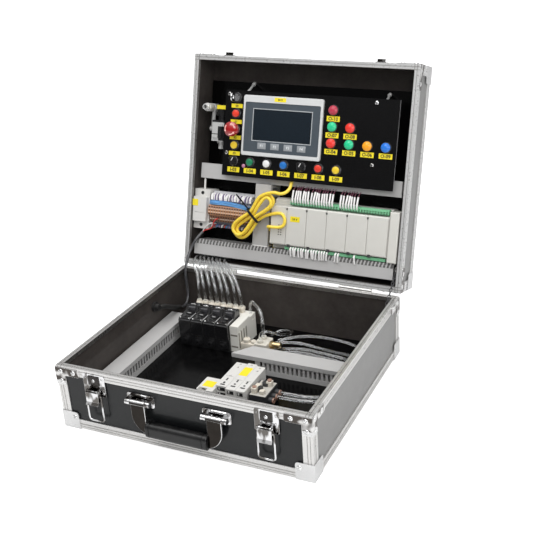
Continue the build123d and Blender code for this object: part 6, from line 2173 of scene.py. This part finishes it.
@dataclass
class TerminalDressing(Dressing):
    """The terminals' wires, painted shade in their screw wells, their clips, and the white
    module's details.

    Attributes:
        left: Left end of the terminals.
        pitch: Distance between neighbours.
        count: Number of terminals.
        middle: Where a terminal's middle is, as a share of the pitch.
        bridges: Number of blue wires that cross the terminals.
    """

    left: float = -168.0
    pitch: float = 5.2
    count: int = 16
    middle: float = 0.47
    bridges: int = 6

    def columns(self) -> list[float]:
        """Give each terminal's x."""
        return [self.left + self.pitch * (k + self.middle) for k in range(self.count)]

    def build_wires(self) -> None:
        """Wire the terminals' upper and lower sides, cross them and feed them."""
        rng = random.Random(5)
        paints = {"pale": SLEEVE, "violet": plastic("wire violet", (0.23, 0.15, 0.34), 0.45),
                  "red": plastic("wire red", (0.62, 0.03, 0.025), 0.4),
                  "blue": plastic("wire blue", (0.06, 0.24, 0.58), 0.42)}
        tops: dict[str, list[list[Vector]]] = {"pale": [], "violet": []}
        feet: dict[str, list[list[Vector]]] = {colour: [] for colour in paints}
        for k, x in enumerate(self.columns()):
            lean = rng.uniform(-0.8, 1.6)
            for stem, colour in ((x - 1.1, "pale"), (x + 1.3, "violet" if k % 3 else "pale")):
                tops[colour].append(LID.line(
                    (stem, 131.5, 45.0), (stem, 132.5, 53.0), (stem + lean, 128.5, 58.5),
                    (stem + 2 * lean, 121.5, 60.0)))
            feet[("pale", "red", "blue", "violet")[k % 4]].append(LID.line(
                (x, 75.5, 44.0), (x, 75.0, 50.5), (x + lean, 71.0, 54.0)))
        blues = []
        for k in range(self.bridges):
            drop = rng.uniform(-0.7, 0.7)
            y = 120.5 - 1.25 * k
            blues.append(LID.line(
                (-169.0, y - 1.5, 57.5), (-158.0, y + drop, 60.0 + 0.5 * k),
                (-132.0, y - 1.0 - drop, 62.0), (-104.0, y - 3.0, 63.0),
                (-86.0, y - 5.0 + drop, 65.6), (-80.0, y - 7.0, 63.0)))
        runs = [(f"terminal_{side}_{colour}_wires", lines, 1.15 if colour == "pale" else 0.7,
                 paints[colour]) for side, found in (("upper", tops), ("lower", feet))
                for colour, lines in found.items()]
        feed = (-180.5, 60.0, LID_HEIGHT - 12)
        runs += [
            ("terminal_blue_bridges", blues[::2], 0.85, paints["blue"]),
            ("terminal_pale_blue_bridges", blues[1::2], 0.75,
             plastic("wire pale blue", (0.16, 0.42, 0.74), 0.42)),
            ("feed_wire_red", [LID.line(feed, (-174.0, 64.0, 60.0), (-160.0, 70.0, 63.0),
                                        (-153.0, 84.0, 66.5), (-150.0, 88.0, 58.0))], 1.1,
             paints["red"]),
            ("feed_wire_white", [LID.line(feed, (-178.0, 66.0, 58.0), (-170.0, 74.0, 60.0),
                                          (-163.0, 78.0, 57.0), (-160.0, 76.0, 44.0))], 1.1,
             SLEEVE),
        ]
        for name, lines, radius, finish in runs:
            self.hardware.wires.run(name, lines, radius, "lid", finish, "terminal_blocks")

    def build(self) -> None:
        """Wire the terminals and dress them and the module."""
        self.build_wires()
        holes, tags = Shape(LID), Shape(LID)
        for x in self.columns():
            for y, z in ((96.5, 65.3), (102.5, 65.3), (108.5, 65.3), (83.5, 57.3), (90.0, 57.3)):
                # Dark discs of painted shade in the terminals' screw wells.
                holes.lathe((x, y, z - 0.6), [(0, 0), (1.4, 0), (1.4, 0.65), (0, 0.7)], sides=10)
            for y, z in ((99.5, 65.25), (105.4, 65.25), (86.7, 57.25)):
                tags.box((x - 1.7, y - 0.8, z - 0.1), (x + 1.5, y + 0.7, z + 0.25))
        holes.piece("terminal_screw_wells", INK_AND_SHADE, "terminal_blocks")
        tags.piece("terminal_clips", plastic("terminal clip sand", (0.74, 0.62, 0.52), 0.5),
                   "terminal_blocks")
        wells = Shape(LID)
        for y in (73.0, 132.0):
            wells.lathe((-185.5, y, 57.25), [(0, -0.5), (3.2, -0.5), (3.2, 0.05), (2.6, 0.1),
                                             (2.4, -0.3), (0, -0.35)], sides=24)
        wells.piece("module_screw_wells", BLACK, "relay_module")
        Shape(LID).box((-200.5, 108.0, 66.25), (-189.0, 120.0, 66.6)).piece(
            "module_label", YELLOW_LABEL, "relay_module")
        outline = [(0, 0), (1.9, 0), (1.9, 18), (1.3, 19), (1.3, 23), (0, 23.3)]
        rod = Shape(LID).lathe((-185.5, 138.5, 50.0), outline, axis=(0, 1, 0), sides=16)
        rod.piece("module_rod", WHITE, "relay_module")


@dataclass
class ValveDressing(Dressing):
    """The valves' covers, screws, plugs and wires, and what is on the white modules.

    Attributes:
        left: Left end of the valves.
        pitch: Distance between neighbours.
        count: Number of valves.
        roof: Height of their upper face.
        module_roof: Height of the white modules' upper face.
    """

    left: float = -154.0
    pitch: float = 24.4
    count: int = 4
    roof: float = 67.5
    module_roof: float = 51.0

    def build_valves(self) -> None:
        """Dress the valve island."""
        roof = self.roof
        screws, wires = [], []
        covers, marks, plugs, collars = (Shape(BASE) for _ in range(4))
        for k in range(self.count):
            x = self.left + self.pitch * (k + 0.5)
            covers.box((x - 10.6, 259.0, roof - 0.2), (x + 10.6, 263.5, roof + 1.2), 0.5)
            covers.box((x - 5.4, 275.0, roof - 0.2), (x + 5.4, 284.0, roof + 2.4), 0.8)
            marks.box((x - 8.6, 270.0, roof - 0.1), (x - 2.0, 273.2, roof + 0.25))
            # A silver strip along each valve's right edge: a painted glint.
            marks.box((x + 9.6, 259.0, roof - 0.2), (x + 10.7, 284.5, roof + 0.9), 0.2)
            marks.box((x - 3.2, 276.4, roof + 2.3), (x + 3.2, 278.2, roof + 2.6))
            marks.box((x - 5.0, 294.5, roof + 10.9), (x + 5.0, 296.0, roof + 11.3))
            plugs.box((x - 6.5, 285.5, roof + 1.0), (x + 6.5, 293.0, roof + 9.0), 0.6)
            collars.lathe((x + 6.1, 325.5, 66.0), [(3.3, 0), (5.7, 0), (6.2, 1.0), (6.2, 4.2),
                                                   (5.2, 5.4), (3.3, 5.4), (3.3, 0)], sides=28)
            screws += [Site(BASE.at(*spot), BASE.out) for spot in (
                (x - 8.2, 261.2, roof + 1.2), (x + 8.2, 261.2, roof + 1.2), (x, 298.0, 78.0))]
            wires.append(BASE.line((x - 2.5, 287.0, roof + 6), (x - 3, 279.0, roof + 8.5),
                                   (x - 6, 268.0, roof + 5), (x - 12.1, 262.0, roof - 4)))
        for shape, name, finish, slot in (
            (covers, "valve_covers", BLACK, "solenoid_valves"),
            (collars, "port_collars", CREAM, "push_in_fittings"),
            (plugs, "valve_connectors", plastic("connector smoke", (0.055, 0.055, 0.06)),
             "solenoid_valves"),
            (marks, "valve_marks", plastic("mark silver", (0.5, 0.5, 0.5)), "solenoid_valves"),
        ):
            shape.piece(name, finish, slot)
        self.hardware.screws("valve_screws", screws, 1.9, "base", CHROME, "solenoid_valves")
        self.hardware.wires.run("valve_wires", wires, 0.9, "base", BLACK_RUBBER, "solenoid_valves")

    def build_modules(self) -> None:
        """Dress the white modules."""
        roof = self.module_roof
        labels, slots, windows, tabs = (Shape(BASE) for _ in range(4))
        labels.box((20.5, 146.0, roof), (34.5, 171.0, roof + 0.35))
        labels.box((-24.0, 108.0, 45.0), (-6.0, 124.0, 45.35))
        # Dark slots and holes of painted shade on the modules' tops.
        for x in (9.5, 27.7, 44.2):
            slots.box((x - 4.0, 112.0, roof - 0.1), (x + 4.0, 115.0, roof + 0.06))
            slots.box((x - 1.2, 126.0, roof - 0.1), (x + 1.2, 133.0, roof + 0.06))
            slots.lathe((x, 120.0, roof - 0.4), [(0, 0), (1.9, 0), (1.9, 0.45), (0, 0.5)],
                        sides=16)
        slots.box((-20.0, 99.0, 44.9), (-14.0, 101.5, 45.06))
        for x, y, wide in ((9.5, 108.0, 13.0), (27.7, 103.0, 11.0), (44.2, 103.0, 10.0)):
            for low, high in ((33.5, 39.0), (42.5, 48.5)):
                windows.box((x - wide / 2, y - 0.15, low), (x + wide / 2, y + 0.2, high))
                tabs.box((x - wide / 2 + 2, y - 0.9, low + 1.4),
                         (x - wide / 2 + 4.4, y - 0.1, high - 0.8), 0.2)
        windows.box((-26.0, 96.85, 24.0), (-4.0, 97.2, 38.0))
        for shape, name, finish in (
            (labels, "module_labels", YELLOW_LABEL), (slots, "module_slots", INK_AND_SHADE),
            (windows, "module_windows", INK_AND_SHADE), (tabs, "module_tabs", WHITE),
        ):
            shape.piece(name, finish, "sensor_modules")
        heads = [Site(BASE.at(x, y, roof), BASE.out)
                 for x, y in ((9.5, 176.0), (27.7, 179.0), (44.2, 175.0), (9.5, 140.0))]
        self.hardware.screws("module_screws", heads, 1.7, "base", STEEL, "sensor_modules")

    def build_port_block(self) -> None:
        """Add the port block's grooves and the tee's branch."""
        stripes = Shape(BASE)
        for k in range(4):
            y = 266.0 + 9.0 * k
            stripes.box((-40.55, y, 22.0), (-40.15, y + 3.2, 52.0))
        for low in (24.0, 46.0):
            stripes.box((-55.0, 263.85, low), (-42.0, 264.15, low + 3.0))
        stripes.piece("end_plate_grooves", plastic("groove shade", (0.22, 0.20, 0.17), 0.6),
                      "port_block")
        tee = Shape(BASE).box((-39.9, 268.0, 18.0), (-11.2, 282.0, 33.0), 1.2)
        tee.lathe((-30.0, 275.0, 32.9), [(0, 0), (6.2, 0), (6.2, 6), (5.0, 7.2), (3.2, 7.2),
                                         (3.0, 6.0), (0, 6.0)], sides=28)
        tee.lathe((-17.0, 275.0, 32.9), [(0, 0), (4.6, 0), (4.6, 4), (3.8, 4.8), (0, 4.8)],
                  sides=24)
        tee.piece("tee_branch", CREAM, "exhaust_silencer")

    def build_ejector(self) -> None:
        """Add the ejector's caps and rings."""
        caps, rings = Shape(BASE), Shape(BASE)
        for x, y, wide, high in ((61.0, 121.0, 9.0, 9.0), (74.0, 121.0, 8.0, 6.0),
                                 (61.0, 134.0, 8.0, 6.5), (75.0, 146.0, 9.0, 8.0)):
            caps.pad((x, y), (wide, wide), 42.9, 43.0 + high, 0.8)
        caps.piece("ejector_caps", CREAM, "module_bases")
        for x, y in ((61.0, 121.0), (75.0, 146.0)):
            rings.lathe((x, y, 51.0), [(0, 0), (3.4, 0), (3.4, 2.4), (2.2, 3.0), (0, 3.0)],
                        sides=20)
        for y in (122.0, 134.0, 146.0):
            rings.lathe((91.0, y, 33.0), [(3.2, 0), (4.6, 0), (4.6, 2.2), (3.2, 2.2)],
                        axis=(1, 0, 0), sides=24)
        rings.piece("ejector_rings", plastic("ring brown", (0.33, 0.19, 0.14), 0.35),
                    "module_bases")

    def build(self) -> None:
        """Dress the valve island and the modules."""
        self.build_valves()
        self.build_modules()
        self.build_port_block()
        self.build_ejector()


# Stage ----------------------------------------------------------------------------------

@dataclass
class Studio:
    """The pale floor, the soft lamps and the camera at the photograph's view.

    Attributes:
        camera_spot: Where the camera stands, in metres.
        camera_turn: Its turn in radians.
        lens: Focal length for a 36 mm sensor.
        shift: Sideways and upward shift of the picture.
        lamps: Name, place, size, power and aim of each lamp.
        floor_grey: Grey of the floor.
        floor_glow: How far the floor shines to the camera.
    """

    camera_spot: Spot = (0.6267, -1.1933, 0.7901)
    camera_turn: Spot = (1.14519, 0.04003, 0.39546)
    lens: float = 60.551
    shift: Pair = (-0.0880, -0.0048)
    lamps: tuple[tuple[str, Spot, float, float, Spot], ...] = (
        ("overhead_softbox", (-0.2, -0.4, 2.0), 1.6, 22.0, (0.0, 0.0, 0.1)),
        ("front_softbox", (1.3, -2.0, 2.1), 1.2, 19.0, (0.0, 0.0, 0.2)),
        ("right_softbox", (2.1, -0.5, 1.0), 1.2, 12.0, (0.0, 0.0, 0.15)),
    )
    floor_grey: float = 0.86
    floor_glow: float = 0.72

    def build(self) -> None:
        """Set up the floor, the light and the camera."""
        bpy.context.scene.view_settings.view_transform = "Standard"
        self.build_floor()
        self.build_world()
        for name, spot, size, power, aim in self.lamps:
            lamp = bpy.data.lights.new(name, "AREA")
            lamp.size, lamp.energy = size, power
            holder = linked(name, lamp)
            holder.location = spot
            holder.rotation_euler = (Vector(aim) - Vector(spot)).to_track_quat(
                "-Z", "Y").to_euler()
        camera = bpy.data.cameras.new("photograph_view")
        camera.sensor_width, camera.lens = 36.0, self.lens
        camera.shift_x, camera.shift_y = self.shift
        holder = linked("photograph_view", camera)
        holder.location, holder.rotation_euler = self.camera_spot, self.camera_turn
        bpy.context.scene.camera = holder

    def build_floor(self) -> None:
        """Lay the pale floor, which reads white to the camera away from shadows."""
        mesh = bpy.data.meshes.new("floor")
        reach = 8.0
        mesh.from_pydata([(-reach, -reach, 0), (reach, -reach, 0), (reach, reach, 0),
                          (-reach, reach, 0)], [], [(0, 1, 2, 3)])
        floor = linked("floor", mesh)
        material = bpy.data.materials.new("pale floor")
        material.use_nodes = True
        shader = material.node_tree.nodes["Principled BSDF"]
        kit = NodeKit(material.node_tree)
        for name, value in (("Base Color", (self.floor_grey,) * 3), ("Roughness", 0.7),
                            ("Emission Color", (1.0, 1.0, 1.0)),
                            ("Emission Strength", kit.sum("MULTIPLY", self.seen(kit),
                                                          self.floor_glow))):
            kit.put(value, shader.inputs[name])
        mesh.materials.append(material)

    @staticmethod
    def seen(kit: NodeKit) -> bpy.types.NodeSocket:
        """Give 1 to the camera, through clear tubes too, and 0 to other light."""
        rays = kit.add("ShaderNodeLightPath").outputs
        return kit.sum("MAXIMUM", rays["Is Camera Ray"], rays["Is Transmission Ray"])

    def build_world(self) -> None:
        """Set a surround that is white to the camera and bright only overhead as light."""
        world = bpy.data.worlds.new("studio")
        bpy.context.scene.world = world
        world.use_nodes = True
        kit = NodeKit(world.node_tree)
        up = kit.parts(kit.add("ShaderNodeTexCoord").outputs["Generated"])[2]
        light = kit.range(up, 0.25, 0.9, 0.16, 0.95)
        background = world.node_tree.nodes["Background"]
        kit.put((1.0, 1.0, 1.0), background.inputs["Color"])
        kit.put(kit.sum("MAXIMUM", light, self.seen(kit)), background.inputs["Strength"])


def dress_nodes() -> None:
    """Give every carried-over node its finish."""
    for name, finish in NODE_FINISHES.items():
        node = frame["nodes"][name]
        if not node.data.materials:
            node.data.materials.append(finish.build())
        for index in range(len(node.material_slots)):
            node.material_slots[index].material = finish.build()


def main() -> None:
    """Build the stage, the cords and the dressing in order."""
    logging.basicConfig(level=logging.INFO, format="%(name)s: %(message)s")
    Studio().build()
    AirTubes().build()
    PatchCable().build()
    dress_nodes()
    hardware = Hardware()
    for dressing in (LidChain, CaseHardware, PanelDressing, ControllerDressing, TerminalDressing,
                     ValveDressing):
        dressing(hardware).build()
    hardware.clear()


if __name__ == "__main__":
    main()
